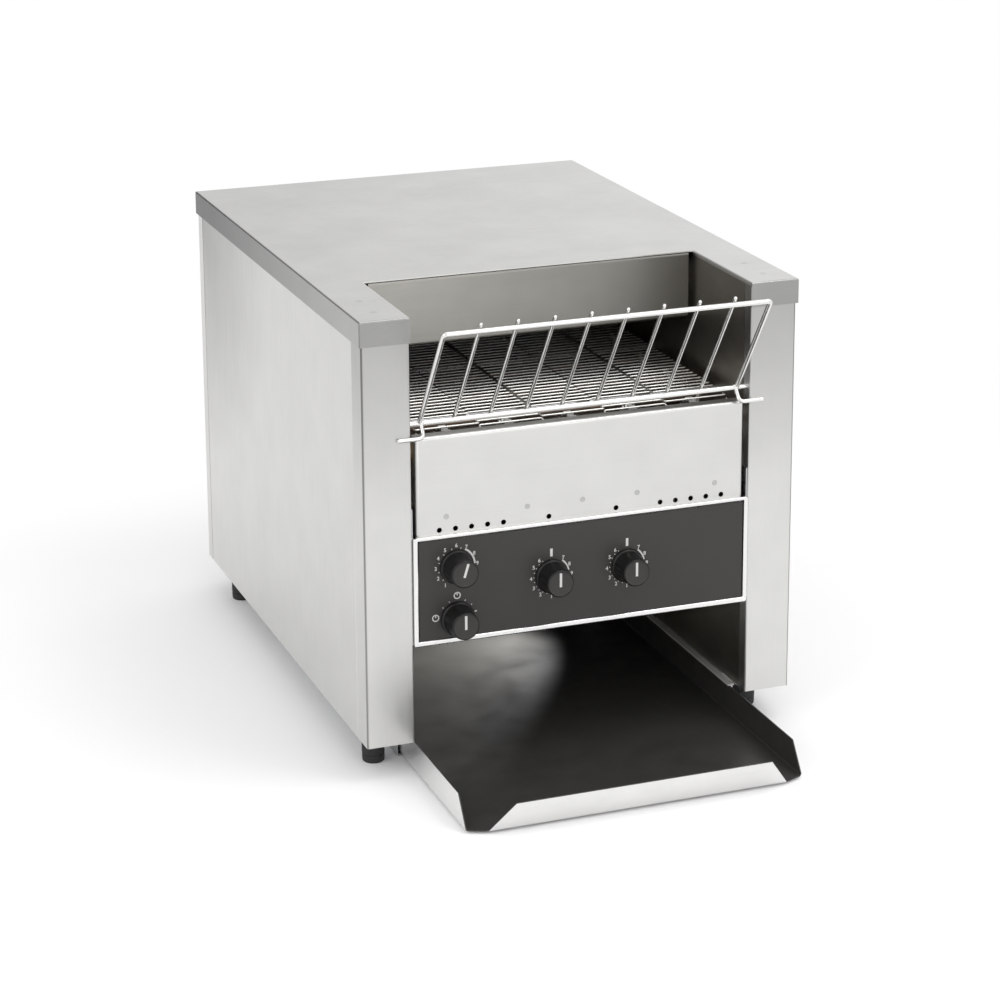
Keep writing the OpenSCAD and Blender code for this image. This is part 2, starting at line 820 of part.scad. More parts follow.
// Circuit board for the belt's speed, on four posts on the box's back
module speed_board() {
    z0 = bezel_bottom_z + 8;
    back = box_back_y - sheet - board_off;
    front = back - 1.6;
    color("darkgreen") at_origin() translate([board_x, 0, z0]) {
        block([0, front, 0], [board_w, back, board_h]);
        for (x = [5, board_w - 5])
            for (z = [5, board_h - 5])
                y_rod(x, back, back + board_off, z, 2.5);
        block([10, front - 10.4, 12], [34, front, 40]);
        y_rod(board_w * 2 / 3, front - 16.4, front, 30, 8);
    }
}

// A control: round body behind the plate, threaded bush through it
module control(at, blades) {
    y0 = plate_t - plate_back;
    translate([at[0], 0, floor_z + at[1]]) {
        difference() {
            union() {
                y_rod(0, y0, y0 + control_d, 0, control_r);
                y_rod(0, -plate_back - bush_front, y0, 0, bush_thread_r);
            }
            y_rod(0, -plate_back - 1, y0 + control_d - 3, 0, spindle_r + run_gap);
        }
        for (i = [0 : blades - 1])
            translate([(i - (blades - 1) / 2) * 8, 0, 0])
                block([-2.5, y0 + control_d, -0.4], [2.5, y0 + control_d + 8, 0.4]);
    }
}

module speed_control() {
    color("dimgray") at_origin() control(speed_at, 3);
}

module selector_switch() {
    color("dimgray") at_origin() control(selector_at, 2);
}

module top_heat_control() {
    color("dimgray") at_origin() control(top_heat_at, 2);
}

module bottom_heat_control() {
    color("dimgray") at_origin() control(bottom_heat_at, 2);
}

// A round knob with a flared skirt, a flat face and a pointer line
module knob(at, turn) {
    skirt_h = 3;
    bore_deep = knob_h * 0.75;
    translate([at[0], -plate_back - knob_seat, floor_z + at[1]])
        rotate([90, turn, 0]) difference() {
            rotate_extrude() polygon([[0, 0], [knob_d / 2, 0], [knob_d / 2, skirt_h - 1],
                [knob_d / 2 - 1.2, skirt_h], [knob_face_d / 2 + 1, skirt_h + 2.5],
                [knob_face_d / 2, knob_h - 1], [knob_face_d / 2 - 1, knob_h], [0, knob_h]]);
            translate([0, 0, -1]) cylinder(h = bore_deep + 1, r = spindle_r + run_gap);
            translate([-pointer_w / 2, 0, knob_h - pointer_deep]) cube([pointer_w, pointer_l, 1]);
        }
}

module speed_knob() {
    color("#1c1b1a") at_origin() knob(speed_at, speed_pointer);
}

module selector_knob() {
    color("#1c1b1a") at_origin() knob(selector_at, 0);
}

module top_heat_knob() {
    color("#1c1b1a") at_origin() knob(top_heat_at, 0);
}

module bottom_heat_knob() {
    color("#1c1b1a") at_origin() knob(bottom_heat_at, 0);
}

module spindle(at) {
    y_rod(at[0], -plate_back - knob_seat - knob_h * 0.7, control_d - 4, floor_z + at[1], spindle_r);
}

module speed_spindle() {
    color("silver") at_origin() spindle(speed_at);
}

module selector_spindle() {
    color("silver") at_origin() spindle(selector_at);
}

module top_heat_spindle() {
    color("silver") at_origin() spindle(top_heat_at);
}

module bottom_heat_spindle() {
    color("silver") at_origin() spindle(bottom_heat_at);
}

// ---- feed rack ----

// Welded wire rack: two long rods, slanted wires behind them, and two bent
// arms whose tails rest on the columns and stop the rack's forward lean
module feed_rack() {
    up = [-sin(rack_lean), cos(rack_lean)];
    back = [cos(rack_lean), sin(rack_lean)];
    foot = [rack_pivot_y, rack_pivot_z];
    head = foot + rack_h * up;
    behind = (rack_rod_r + rack_wire_r - rack_weld) * back;
    tail = [rack_tail_y, rack_pivot_z - rack_tail_drop];
    color("gainsboro") at_origin() {
        x_rod(-rack_pivot_end, rack_pivot_end, foot[0], foot[1], rack_rod_r);
        x_rod(-rack_x, rack_x, head[0], head[1], rack_rod_r);
        for (i = [1 : rack_wires - 2])
            yz_wire(-rack_x + i * rack_pitch, foot + behind - (rack_rod_r + 1) * up,
                    head + behind + (rack_rod_r + rack_nub) * up, rack_wire_r);
        both_sides() {
            yz_wire(rack_x, foot, head, rack_wire_r);
            translate([rack_x, head[0], head[1]]) sphere(r = rack_rod_r + rack_bead);
            yz_wire(rack_x - 1, foot, tail, rack_tail_r);
            translate([rack_x - 1, tail[0], tail[1]]) sphere(r = rack_tail_r + rack_bead);
            x_rod(rack_x - 1, rack_tail_x, tail[0], tail[1], rack_tail_r);
        }
    }
}

// ---- exit ----

// A folded sheet tray: the floor turns up into the front lip, both cut to one
// plan outline with slanted corners, and the side walls stand on the floor
module toast_tray() {
    z1 = tray_z + tray_wall_h;
    corner_y = -tray_front + tray_corner_y;
    wall_y = corner_y + sheet;
    lip_x = tray_x - tray_corner_x;
    up = [-sin(tray_lip_lean), cos(tray_lip_lean)];
    inward = [cos(tray_lip_lean), sin(tray_lip_lean)] * sheet;
    tip = [-tray_front, tray_z] + tray_lip * up;
    fold_y = -tray_front + sheet * (1 - sin(tray_lip_lean)) / cos(tray_lip_lean);
    past_tip = 5;
    tip_x = lip_x - tray_mitre * (1 + past_tip / (tray_lip * sin(tray_lip_lean)));
    color("#2e2c2a") at_origin() {
        intersection() {
            rotate([90, 0, 90]) linear_extrude(2 * tray_x, center = true)
                polygon([[tray_rear, tray_z], [-tray_front, tray_z], tip, tip + inward,
                         [fold_y, tray_z + sheet], [tray_rear, tray_z + sheet]]);
            linear_extrude(z1 + sheet)
                polygon([[-tray_x, tray_rear], [-tray_x, corner_y], [-lip_x, -tray_front],
                         [-tip_x, tip[0] - past_tip], [tip_x, tip[0] - past_tip],
                         [lip_x, -tray_front], [tray_x, corner_y], [tray_x, tray_rear]]);
        }
        both_sides() translate([tray_x - sheet, 0, 0]) rotate([90, 0, 90]) linear_extrude(sheet)
            polygon([[wall_y, tray_z], [tray_rear, tray_z], [tray_rear, z1],
                     [wall_y + tray_wall_back, z1]]);
    }
}

// Angle under the base plate that carries one edge of the tray
module tray_runner() {
    block([runner_x, runner_y0, floor_z - sheet], [runner_x + runner_flange, runner_y1, floor_z]);
    block([runner_x, runner_y0, runner_low], [runner_x + sheet, runner_y1, floor_z]);
    block([runner_x - runner_lip, runner_y0, runner_low],
          [runner_x + sheet, runner_y1, runner_low + sheet]);
}

module left_tray_runner() {
    color("darkgray") at_origin() on_left() tray_runner();
}

module right_tray_runner() {
    color("darkgray") at_origin() tray_runner();
}

// The slide behind the belt: upright back, round bend, straight ramp
module slide() {
    x1 = inner_x - side_fit;
    reach = 2 * slide_r;
    color("#4a4845") at_origin() difference() {
        translate([-x1, 0, 0]) rotate([90, 0, 90]) linear_extrude(2 * x1) {
            translate([slide_y, slide_c_z - slide_lap]) square([sheet, slide_top_z - slide_c_z]);
            translate([slide_c_y, slide_c_z]) intersection() {
                difference() {
                    circle(r = slide_r + sheet, $fn = 120);
                    circle(r = slide_r, $fn = 120);
                }
                polygon([[0, 0], [reach, 0], [reach, -reach],
                         [reach * cos(slide_turn), -reach * sin(slide_turn)]]);
            }
            translate([slide_arc_y, slide_arc_z]) rotate(180 + slide_slope)
                translate([-slide_lap, 0]) square([slide_straight + slide_lap, sheet]);
        }
        both_sides() block([slide_narrow_x, 0, 0], [inner_x, base_cut_y + 4, floor_z + 10]);
    }
}

// ---- cooling and mains ----

module fan_frame() {
    half = fan_size / 2;
    y0 = rear_in - fan_depth;
    color("#222222") at_origin() translate([0, 0, fan_z]) {
        difference() {
            block([-half, y0, -half], [half, rear_in, half]);
            y_rod(0, y0 - 1, rear_in + 1, 0, fan_bore_r);
        }
        difference() {
            union() {
                for (a = [45, 135])
                    rotate([0, a, 0])
                        block([-fan_bore_r - 1, rear_in - 3, -2], [fan_bore_r + 1, rear_in, 2]);
                y_rod(0, rear_in - 5, rear_in, 0, fan_hub_r);
            }
            y_rod(0, rear_in - 6, rear_in - 1, 0, fan_pin_r + run_gap);
        }
    }
    // flanges that stand the frame on the base plate
    color("#222222") at_origin()
        block([-half, y0, deck_z], [half, rear_in, fan_z - half]);
}

module fan_rotor() {
    y0 = rear_in - fan_depth + 2;
    y1 = rear_in - 6;
    pitch_angle = 38;
    color("#333333") at_origin() translate([0, 0, fan_z]) {
        y_rod(0, y0, y1, 0, fan_hub_r);
        y_rod(0, y1 - 1, rear_in - 1.5, 0, fan_pin_r);
        intersection() {
            y_rod(0, y0 + 1, y1 - 1, 0, fan_rotor_r);
            for (i = [0 : fan_blades - 1])
                rotate([0, i * 360 / fan_blades, 0]) translate([0, (y0 + y1) / 2, 0])
                    rotate([0, 0, pitch_angle])
                        block([-0.8, -fan_depth, fan_hub_r - 2], [0.8, fan_depth, fan_size]);
        }
    }
}

module cord_gland() {
    color("#222222") at_origin() difference() {
        union() {
            y_rod(gland_x, rear_in - 9, rear_y, gland_z, gland_r);
            y_rod(gland_x, rear_y, rear_y + gland_out, gland_z, gland_flange_r);
            translate([gland_x, rear_in, gland_z]) rotate([90, 0, 0])
                cylinder(h = 5, r = gland_flange_r, $fn = 6);
        }
        y_rod(gland_x, rear_in - 10, rear_y + gland_out + 1, gland_z, 4);
    }
}

module terminal_block() {
    w = 22;
    l = 36;
    h = 20;
    y0 = rear_in - terminal_gap;
    color("ivory") at_origin() translate([gland_x - w / 2, y0, deck_z]) difference() {
        block([0, 0, 0], [w, l, h]);
        for (i = [0 : 2])
            translate([w / 2, 6 + i * 12, h / 2]) cylinder(h = h, r = 3);
        for (i = [0 : 2])
            x_rod(-1, w + 1, 6 + i * 12, 6, 2);
    }
}

// ---- assembly ----

top_cover();
left_side_panel();
right_side_panel();
left_column();
right_column();
left_inner_wall();
right_inner_wall();
rear_panel();
base_plate();
left_rear_post();
right_rear_post();
hood_front();
upper_reflector();
hood_insulation();
lower_deck();
upper_heaters();
lower_heaters();
heater_insulators();
belt();
belt_rails();
rail_cross_rods();
front_shaft();
front_sprockets();
rear_shaft();
rear_sprockets();
front_bushes();
rear_bushes();
drive_coupling();
gear_motor();
motor_posts();
front_panel();
control_bezel();
control_plate();
control_box();
speed_board();
speed_control();
selector_switch();
top_heat_control();
bottom_heat_control();
speed_knob();
selector_knob();
top_heat_knob();
bottom_heat_knob();
speed_spindle();
selector_spindle();
top_heat_spindle();
bottom_heat_spindle();
feed_rack();
toast_tray();
left_tray_runner();
right_tray_runner();
slide();
feet();
foot_nuts();
fan_frame();
fan_rotor();
cord_gland();
terminal_block();
rear_screws();
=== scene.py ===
import json

import bmesh
import bpy
import numpy as np
from bpy.props import FloatProperty, FloatVectorProperty, IntProperty, PointerProperty
from mathutils import Matrix, Vector
from mathutils.geometry import delaunay_2d_cdt


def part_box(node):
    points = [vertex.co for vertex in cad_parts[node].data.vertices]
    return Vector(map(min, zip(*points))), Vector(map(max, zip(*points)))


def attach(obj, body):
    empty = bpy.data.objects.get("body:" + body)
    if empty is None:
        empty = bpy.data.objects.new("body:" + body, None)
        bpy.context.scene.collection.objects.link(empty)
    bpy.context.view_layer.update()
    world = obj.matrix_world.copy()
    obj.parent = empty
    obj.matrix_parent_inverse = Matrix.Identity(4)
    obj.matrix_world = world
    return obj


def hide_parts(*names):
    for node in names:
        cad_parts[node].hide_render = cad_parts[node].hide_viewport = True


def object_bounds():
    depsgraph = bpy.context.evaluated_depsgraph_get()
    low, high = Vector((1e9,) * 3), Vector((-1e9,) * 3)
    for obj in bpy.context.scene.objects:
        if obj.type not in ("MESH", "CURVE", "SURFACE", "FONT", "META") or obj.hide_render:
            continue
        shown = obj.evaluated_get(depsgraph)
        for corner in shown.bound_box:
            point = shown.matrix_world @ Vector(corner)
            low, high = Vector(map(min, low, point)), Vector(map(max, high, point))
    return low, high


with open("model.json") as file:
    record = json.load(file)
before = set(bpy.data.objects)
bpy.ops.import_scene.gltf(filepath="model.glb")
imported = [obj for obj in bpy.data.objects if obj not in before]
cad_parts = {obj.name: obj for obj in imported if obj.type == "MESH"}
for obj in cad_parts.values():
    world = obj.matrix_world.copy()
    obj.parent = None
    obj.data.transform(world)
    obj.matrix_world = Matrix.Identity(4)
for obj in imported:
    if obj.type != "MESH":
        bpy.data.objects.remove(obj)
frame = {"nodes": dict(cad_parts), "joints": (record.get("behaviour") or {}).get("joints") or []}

bl_info = {
    "name": "Conveyor toaster looks",
    "version": (1, 0, 0),
    "blender": (4, 5, 0),
    "location": "3D View > Sidebar > Toaster",
    "description": "Folded sheet, wire, printed and moulded pieces on the toaster's CAD frame",
    "category": "Object",
}

MM = 0.001
JOINTS = {joint["name"]: joint for joint in frame["joints"]}
LEFT, RIGHT = -1, 1


def box(node):
    """Lowest and highest corner of a CAD node as two arrays, in metres."""
    low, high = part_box(node)
    return np.array(low), np.array(high)


CAD_BOX = [list(corner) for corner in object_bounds()]
FRONT = box("left_column")[0][1]


def put(thing, **values):
    """The thing, with each of values set on it."""
    for key, value in values.items():
        setattr(thing, key, value)
    return thing


def node(tree, kind, links=(), **values):
    """The outputs of a new shader node. links gives a source or a constant for its sockets."""
    made = put(tree.nodes.new("ShaderNode" + kind), **values)
    for socket, source in dict(links).items():
        if isinstance(source, bpy.types.NodeSocket):
            tree.links.new(source, made.inputs[socket])
        else:
            made.inputs[socket].default_value = source
    return made.outputs


def baked(obj):
    """A new mesh of the object with its modifiers applied."""
    return bpy.data.meshes.new_from_object(
        obj.evaluated_get(bpy.context.evaluated_depsgraph_get()))


# ---- shapes ----


def unit(vectors):
    """Each vector divided by its length."""
    vectors = np.asarray(vectors, float)
    return vectors / np.linalg.norm(vectors, axis=-1, keepdims=True)


def grid_faces(rows, columns, join_rows=False, join_columns=False):
    """Quads of a grid of rows x columns points, joined round where asked."""
    row = np.arange(rows if join_rows else rows - 1)
    column = np.arange(columns if join_columns else columns - 1)
    row, column = np.meshgrid(row, column, indexing="ij")
    next_row, next_column = (row + 1) % rows, (column + 1) % columns
    corners = (row * columns + column, row * columns + next_column,
               next_row * columns + next_column, next_row * columns + column)
    return np.stack(corners, -1).reshape(-1, 4)


def rounded(corners, radius, steps=5):
    """The line through corners, with an arc of radius in place of each inner corner.

    The arc's centre lies on the corner's bisector, radius / sin(half angle) away, and the
    arc runs from one touching point to the other."""
    corners = np.asarray(corners, float)
    here = corners[1:-1]
    back, on = unit(corners[:-2] - here), unit(corners[2:] - here)
    half = np.arccos(np.clip((back * on).sum(1), -1, 1)) / 2
    radius = np.broadcast_to(np.asarray(radius, float), half.shape)
    centre = here + unit(back + on) * (radius / np.sin(half))[:, None]
    start = here + back * (radius / np.tan(half))[:, None]
    out = unit(start - centre)
    turn = np.linspace(0, 1, steps + 1)[None, :, None] * (np.pi - 2 * half)[:, None, None]
    arcs = centre[:, None] + radius[:, None, None] * (
        out[:, None] * np.cos(turn) - back[:, None] * np.sin(turn))
    return np.concatenate([corners[:1], arcs.reshape(-1, corners.shape[1]), corners[-1:]])


def circle(centre, radius, sides=24):
    """Points round a circle in a plane, anticlockwise."""
    turn = np.linspace(0, 2 * np.pi, sides, endpoint=False)
    return np.asarray(centre) + radius * np.stack([np.cos(turn), np.sin(turn)], 1)


def upright_slot(x, low, high, width, steps=6):
    """A slot with round ends, long side along the second axis, anticlockwise."""
    turn = np.linspace(0, np.pi, steps + 1)
    bow = width / 2 * np.stack([np.cos(turn), np.sin(turn)], 1)
    return np.concatenate([(x, high) + bow, (x, low) - bow])


def filled(outline, holes=()):
    """Points and triangles of a flat shape with holes, by constrained Delaunay. A triangle
    whose corners all lie on one hole's edge is in that hole, and is left out."""
    loops = [np.asarray(loop, float) for loop in (outline, *holes)]
    starts = np.cumsum([0] + [len(loop) for loop in loops[:-1]])
    edges = np.concatenate([
        np.stack([start + np.arange(len(loop)), start + (np.arange(len(loop)) + 1) % len(loop)], 1)
        for start, loop in zip(starts, loops)])
    owner = np.repeat(np.arange(len(loops)), [len(loop) for loop in loops])
    made = delaunay_2d_cdt([Vector(p) for p in np.concatenate(loops)], edges.tolist(), [], 1, 1e-8)
    of_loop = [owner[sources[0]] for sources in made[3]]
    faces = [tuple(face) for face in made[2]
             if not of_loop[face[0]] or len({of_loop[corner] for corner in face}) > 1]
    return np.array([tuple(p) for p in made[0]]), faces


class Patches:
    """Patches of surface that become one mesh, each with the number of its finish."""

    def __init__(self):
        self.points, self.faces, self.finish, self.count = [], [], [], 0

    def add(self, points, faces, finish=0):
        """Adds points and the faces between them, in one finish."""
        points = np.asarray(points, float).reshape(-1, 3)
        if isinstance(faces, np.ndarray):
            faces = faces.tolist()
        start = self.count
        self.faces += [[start + corner for corner in face] for face in faces]
        self.finish += [finish] * len(faces)
        self.points.append(points)
        self.count += len(points)


def add_wire(patches, path, side, radius, sides=12, finish=0):
    """A round wire along path, with domed ends.

    Each ring is radius * (cos t * side + sin t * across), where across is square to the
    path and to side, and side is square to the plane that the path lies in."""
    path = np.asarray(path, float)
    along = unit(np.gradient(path, axis=0))
    dome = np.linspace(np.pi / 2, 0, 5)[:-1]
    lift, small = radius * np.sin(dome)[:, None], radius * np.cos(dome)
    radii = np.concatenate([small, np.full(len(path), radius), small[::-1]])
    path = np.concatenate([path[:1] - along[:1] * lift, path, path[-1:] + along[-1:] * lift[::-1]])
    along = np.concatenate([np.repeat(along[:1], len(dome), 0), along,
                            np.repeat(along[-1:], len(dome), 0)])
    side = unit(side)
    across = np.cross(along, side)
    turn = np.linspace(0, 2 * np.pi, sides, endpoint=False)[None, :, None]
    rings = path[:, None] + radii[:, None, None] * (
        np.cos(turn) * side + np.sin(turn) * across[:, None])
    patches.add(rings, grid_faces(len(path), sides, join_columns=True), finish)


def add_turned(patches, profile, centre, axis, sides=48, finish=0):
    """A turned shape: each (radius, height) of profile goes round the axis through centre."""
    axis = unit(axis)
    side = unit(np.cross(axis, (0.0, 0.6, 0.8) if abs(axis[0]) > 0.5 else (1.0, 0.0, 0.0)))
    across = np.cross(axis, side)
    turn = np.linspace(0, 2 * np.pi, sides, endpoint=False)[None, :, None]
    radius, height = np.asarray(profile, float).T
    rings = np.asarray(centre) + height[:, None, None] * axis + radius[:, None, None] * (
        np.cos(turn) * side + np.sin(turn) * across)
    patches.add(rings, grid_faces(len(radius), sides, join_columns=True), finish)


def moved_corners(outline, before, after):
    """Each corner of outline moved inwards, `before` from the edge that ends there and
    `after` from the edge that starts there, by solving the two edge equations."""
    edge = np.roll(outline, -1, 0) - outline
    out = unit(np.stack([edge[:, 1], -edge[:, 0]], 1))
    out_before = np.roll(out, 1, 0)
    a = (out_before * outline).sum(1) - before
    b = (out * outline).sum(1) - after
    cross = out_before[:, 0] * out[:, 1] - out_before[:, 1] * out[:, 0]
    return np.stack([(a * out[:, 1] - b * out_before[:, 1]) / cross,
                     (b * out_before[:, 0] - a * out[:, 0]) / cross], 1)


def add_folded(patches, outline, flanges, origin, axes, radius, holes=(), turns=None, trims=None,
               steps=5, finish=0):
    """The outer skin of a folded sheet.

    outline is the plate, anticlockwise in the plane of axes[0] and axes[1]; axes[2] points
    out of the sheet. flanges gives the length of the flange on each edge, 0 for none, and
    turns its fold angle. A fold starts radius * tan(turn / 2) inside the edge, follows an
    arc of that radius, and runs straight to its length. Beside a folded edge its end is
    mitred, and elsewhere square. trims narrows a flange's two ends evenly towards its rim."""
    outline, flanges = np.asarray(outline, float), np.asarray(flanges, float)
    turns = np.radians(turns if turns is not None else np.full(len(outline), 90.0))
    trims = np.zeros((len(outline), 2)) if trims is None else np.asarray(trims, float)
    origin, axes = np.asarray(origin, float), np.asarray(axes, float)
    folded = flanges > 0
    inset = np.where(folded, radius * np.tan(turns / 2), 0.0)
    turn = np.linspace(0, 1, steps + 1)[:, None] * turns
    out = radius * np.sin(turn) - radius * np.tan(turns / 2)
    down = radius * (1 - np.cos(turn))
    out = np.concatenate([out, (flanges * np.cos(turns))[None]])
    down = np.concatenate([down, (flanges * np.sin(turns))[None]])
    trim = np.concatenate([np.zeros((steps + 1, len(outline))), np.ones((1, len(outline)))])

    plate = moved_corners(outline, np.roll(inset, 1), inset)
    flat, faces = filled(plate, holes)
    patches.add(origin + flat @ axes[:2], faces, finish)

    edge = unit(np.roll(outline, -1, 0) - outline)
    for k in np.flatnonzero(folded):
        after_k = (k + 1) % len(outline)
        rows = []
        for o, d, t in zip(out[:, k], down[:, k], trim[:, k]):
            before, after = np.zeros(len(outline)), np.zeros(len(outline))
            meets = (folded[k - 1] and turns[k - 1] == turns[k],
                     folded[after_k] and turns[after_k] == turns[k])
            here = [-o if met else -min(o, 0.0) for met in meets]
            after[k], before[k] = here[0], here[0] if meets[0] else 0.0
            before[after_k], after[after_k] = here[1], here[1] if meets[1] else 0.0
            corners = moved_corners(outline, before, after)
            ahead = np.array([edge[k, 1], -edge[k, 0]])
            start = corners[k] + edge[k] * trims[k, 0] * t + ahead * (o + here[0])
            end = corners[after_k] - edge[k] * trims[k, 1] * t + ahead * (o + here[1])
            rows.append([np.append(start, -d), np.append(end, -d)])
        rows = np.array(rows)
        faces = grid_faces(len(rows), 2)[:, ::-1]
        patches.add(origin + rows @ axes, faces, finish)


def add_slab(patches, outline, origin, axes, thickness, finish=0):
    """A thin plate on a plane: outline, anticlockwise, carried thickness along axes[2]."""
    origin, axes = np.asarray(origin, float), np.asarray(axes, float)
    flat, faces = filled(outline)
    face = origin + flat @ axes[:2]
    rim = origin + np.asarray(outline, float) @ axes[:2]
    patches.add(face + axes[2] * thickness, faces, finish)
    patches.add(face, [tuple(reversed(f)) for f in faces], finish)
    patches.add([rim, rim + axes[2] * thickness],
                grid_faces(2, len(rim), join_columns=True), finish)


JOIN = 2e-6     # corners nearer than this become one, in metres
EASED = 55      # a sheet's edge sharper than this is eased, in degrees


def piece(name, patches, finishes, replaces=(), slot=None, body="chassis", thickness=0.0, rim=0.0,
          closed=False, inside=0, angle=32):
    """One named piece on a CAD body, from patches.

    Doubles are merged and a closed shell is turned outwards. With a thickness, the skin
    becomes a sheet inwards of it, whose inner face takes the finish `inside` numbers on,
    and whose cut edges are eased by rim. Flat faces keep their own light and folds run
    smooth, by normals weighted by area."""
    mesh = bpy.data.meshes.new(name)
    mesh.from_pydata(np.concatenate(patches.points).tolist(), [], patches.faces)
    mesh.polygons.foreach_set("material_index", np.array(patches.finish, np.int32))
    shell = bmesh.new()
    shell.from_mesh(mesh)
    bmesh.ops.remove_doubles(shell, verts=shell.verts, dist=JOIN)
    if closed:
        bmesh.ops.recalc_face_normals(shell, faces=shell.faces)
    shell.to_mesh(mesh)
    shell.free()
    for look in finishes:
        mesh.materials.append(finish(look))
    obj = bpy.data.objects.new(name, mesh)
    bpy.context.scene.collection.objects.link(obj)
    if thickness:
        put(obj.modifiers.new("sheet", "SOLIDIFY"), thickness=thickness, offset=-1,
            use_even_offset=True, material_offset=inside, material_offset_rim=inside)
        if rim:
            put(obj.modifiers.new("rim", "BEVEL"), width=rim, segments=2, limit_method="ANGLE",
                angle_limit=np.radians(EASED), use_clamp_overlap=True)
        obj.data = baked(obj)
        obj.data.name = name
        obj.modifiers.clear()
    obj.data.shade_smooth()
    obj.data.set_sharp_from_angle(angle=np.radians(angle))
    put(obj.modifiers.new("weights", "WEIGHTED_NORMAL"), keep_sharp=True, weight=100)
    if not obj.data.polygons:
        raise RuntimeError(f"{name} has no faces")
    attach(obj, body)
    if replaces:
        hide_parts(*replaces)
    return obj


def folded(name, cad, finishes, *plates, slot="case_steel", **more):
    """A folded sheet in place of a CAD node. Each plate holds what one add_folded takes."""
    size = bpy.context.scene.toaster_sheet
    skin = Patches()
    for plate in plates:
        add_folded(skin, *plate)
    piece(name, skin, finishes, (cad,), slot, thickness=size.thickness, rim=size.rim, **more)


# ---- finishes ----


class Finish:
    """A finish under construction: one Principled shader with patterns in the piece's own
    coordinates. Sizes and depths are in mm."""

    def __init__(self, name, colour, roughness, metallic=0.0, sockets=()):
        self.material = bpy.data.materials.new(name)
        self.material.use_nodes = True
        self.tree = self.material.node_tree
        self.shader = self.tree.nodes["Principled BSDF"]
        for socket, value in {"Roughness": roughness, "Metallic": metallic,
                              "Base Color": (*colour, 1), **dict(sockets)}.items():
            self.shader.inputs[socket].default_value = value
        self.place = self.node("TexCoord")["Object"]
        self.bump = None

    def node(self, kind, links=(), **values):
        """The outputs of a new node in this finish."""
        return node(self.tree, kind, links, **values)

    def spread(self, size, stretch):
        """Coordinates in units of about size, drawn out along an axis by stretch."""
        return self.node("Mapping", {"Vector": self.place, "Scale": tuple(
            1 / (size * MM * s) for s in stretch)})[0]

    def noise(self, size, stretch=(1, 1, 1), detail=3.0, rough=0.5):
        """Noise whose grains are about size across."""
        return self.node("TexNoise", {"Vector": self.spread(size, stretch), "Scale": 1.0,
                                      "Detail": detail, "Roughness": rough},
                         noise_dimensions="3D")[0]

    def cells(self, size):
        """Distance to the nearest point of a scatter about size apart."""
        return self.node("TexVoronoi", {"Vector": self.spread(size, (1, 1, 1)),
                                        "Scale": 1.0})["Distance"]

    def between(self, factor, low, high, start=0.3, end=0.7):
        """A value that goes from low to high as factor goes from start to end."""
        return self.node("MapRange", {"Value": factor, "From Min": start, "From Max": end,
                                      "To Min": low, "To Max": high})[0]

    def along(self, axis, low, high, start, end):
        """A value that goes from low to high between two places along an axis."""
        at = self.node("SeparateXYZ", {"Vector": self.place})[axis]
        return self.between(at, low, high, start, end)

    def near(self, source, point, radius, soft, low=1, high=0):
        """low within a radius of a point, going to high over soft."""
        away = self.node("VectorMath", {0: source, 1: point}, operation="DISTANCE")["Value"]
        return self.between(away, low, high, radius * MM, (radius + soft) * MM)

    def spot(self, x, y, radius, soft):
        """1 in upright posts of a radius at (+-x, y), falling to 0 over soft."""
        parts = self.node("SeparateXYZ", {"Vector": self.place})
        side = self.node("Math", {0: parts["X"]}, operation="ABSOLUTE")[0]
        flat = self.node("CombineXYZ", {"X": side, "Y": parts["Y"]})[0]
        return self.near(flat, (x * MM, y, 0), radius, soft)

    def maths(self, operation, a, b):
        """Two values brought together by a sum, a product or the like."""
        return self.node("Math", {0: a, 1: b}, operation=operation)[0]

    def tint(self, factor, low, high):
        """Multiplies the colour by a grey or colour between low and high."""
        low, high = ((shade,) * 3 if np.isscalar(shade) else shade for shade in (low, high))
        shade = self.node("Mix", {0: factor, 6: (*low, 1), 7: (*high, 1)}, data_type="RGBA",
                          blend_type="MIX")[2]
        held = self.shader.inputs["Base Color"]
        times = self.node("Mix", {
            0: 1, 6: held.links[0].from_socket if held.is_linked else tuple(held.default_value),
            7: shade}, data_type="RGBA", blend_type="MULTIPLY")[2]
        self.tree.links.new(times, held)

    def shine(self, factor, low, high):
        """Roughness between low and high."""
        self.tree.links.new(self.between(factor, low, high), self.shader.inputs["Roughness"])

    def relief(self, factor, depth, strength=1.0):
        """Bumps of that depth, over those already there."""
        links = {"Height": factor, "Distance": depth * MM, "Strength": strength}
        if self.bump:
            links["Normal"] = self.bump
        self.bump = self.node("Bump", links)[0]
        self.tree.links.new(self.bump, self.shader.inputs["Normal"])

    def grain(self, change, size, low, high=1.0, detail=3.0, stretch=(1, 1, 1)):
        """Noise, or cells where detail is 0, that changes tint, shine or relief. Relief takes
        its depth as low and its strength as high."""
        pattern = self.noise(size, stretch, detail) if detail else self.cells(size)
        getattr(self, change)(pattern, low, high)


def brushed(name, colour, roughness, grain, drawn=60, depth=0.003, blotch=0.05):
    """Brushed sheet: fine scratches drawn out along one axis, a slow change of tone from
    handling, and small smudges in the gloss. grain is 0, 1 or 2 for X, Y or Z."""
    finish = Finish(name, colour, roughness, 1.0)
    stretch = [1, 1, 1]
    stretch[grain] = drawn
    fine = finish.noise(0.35, stretch, 2)
    broad = finish.noise(3, stretch, 2)
    smudge = finish.noise(45, detail=4)
    finish.tint(fine, 0.97, 1.0)
    finish.tint(broad, 0.975, 1.0)
    finish.tint(finish.between(smudge, 0, 1), 1 - blotch, 1.0)
    finish.grain("shine", 0.8, roughness * 0.82, roughness * 1.18, 3, stretch)
    finish.relief(fine, depth)
    return finish


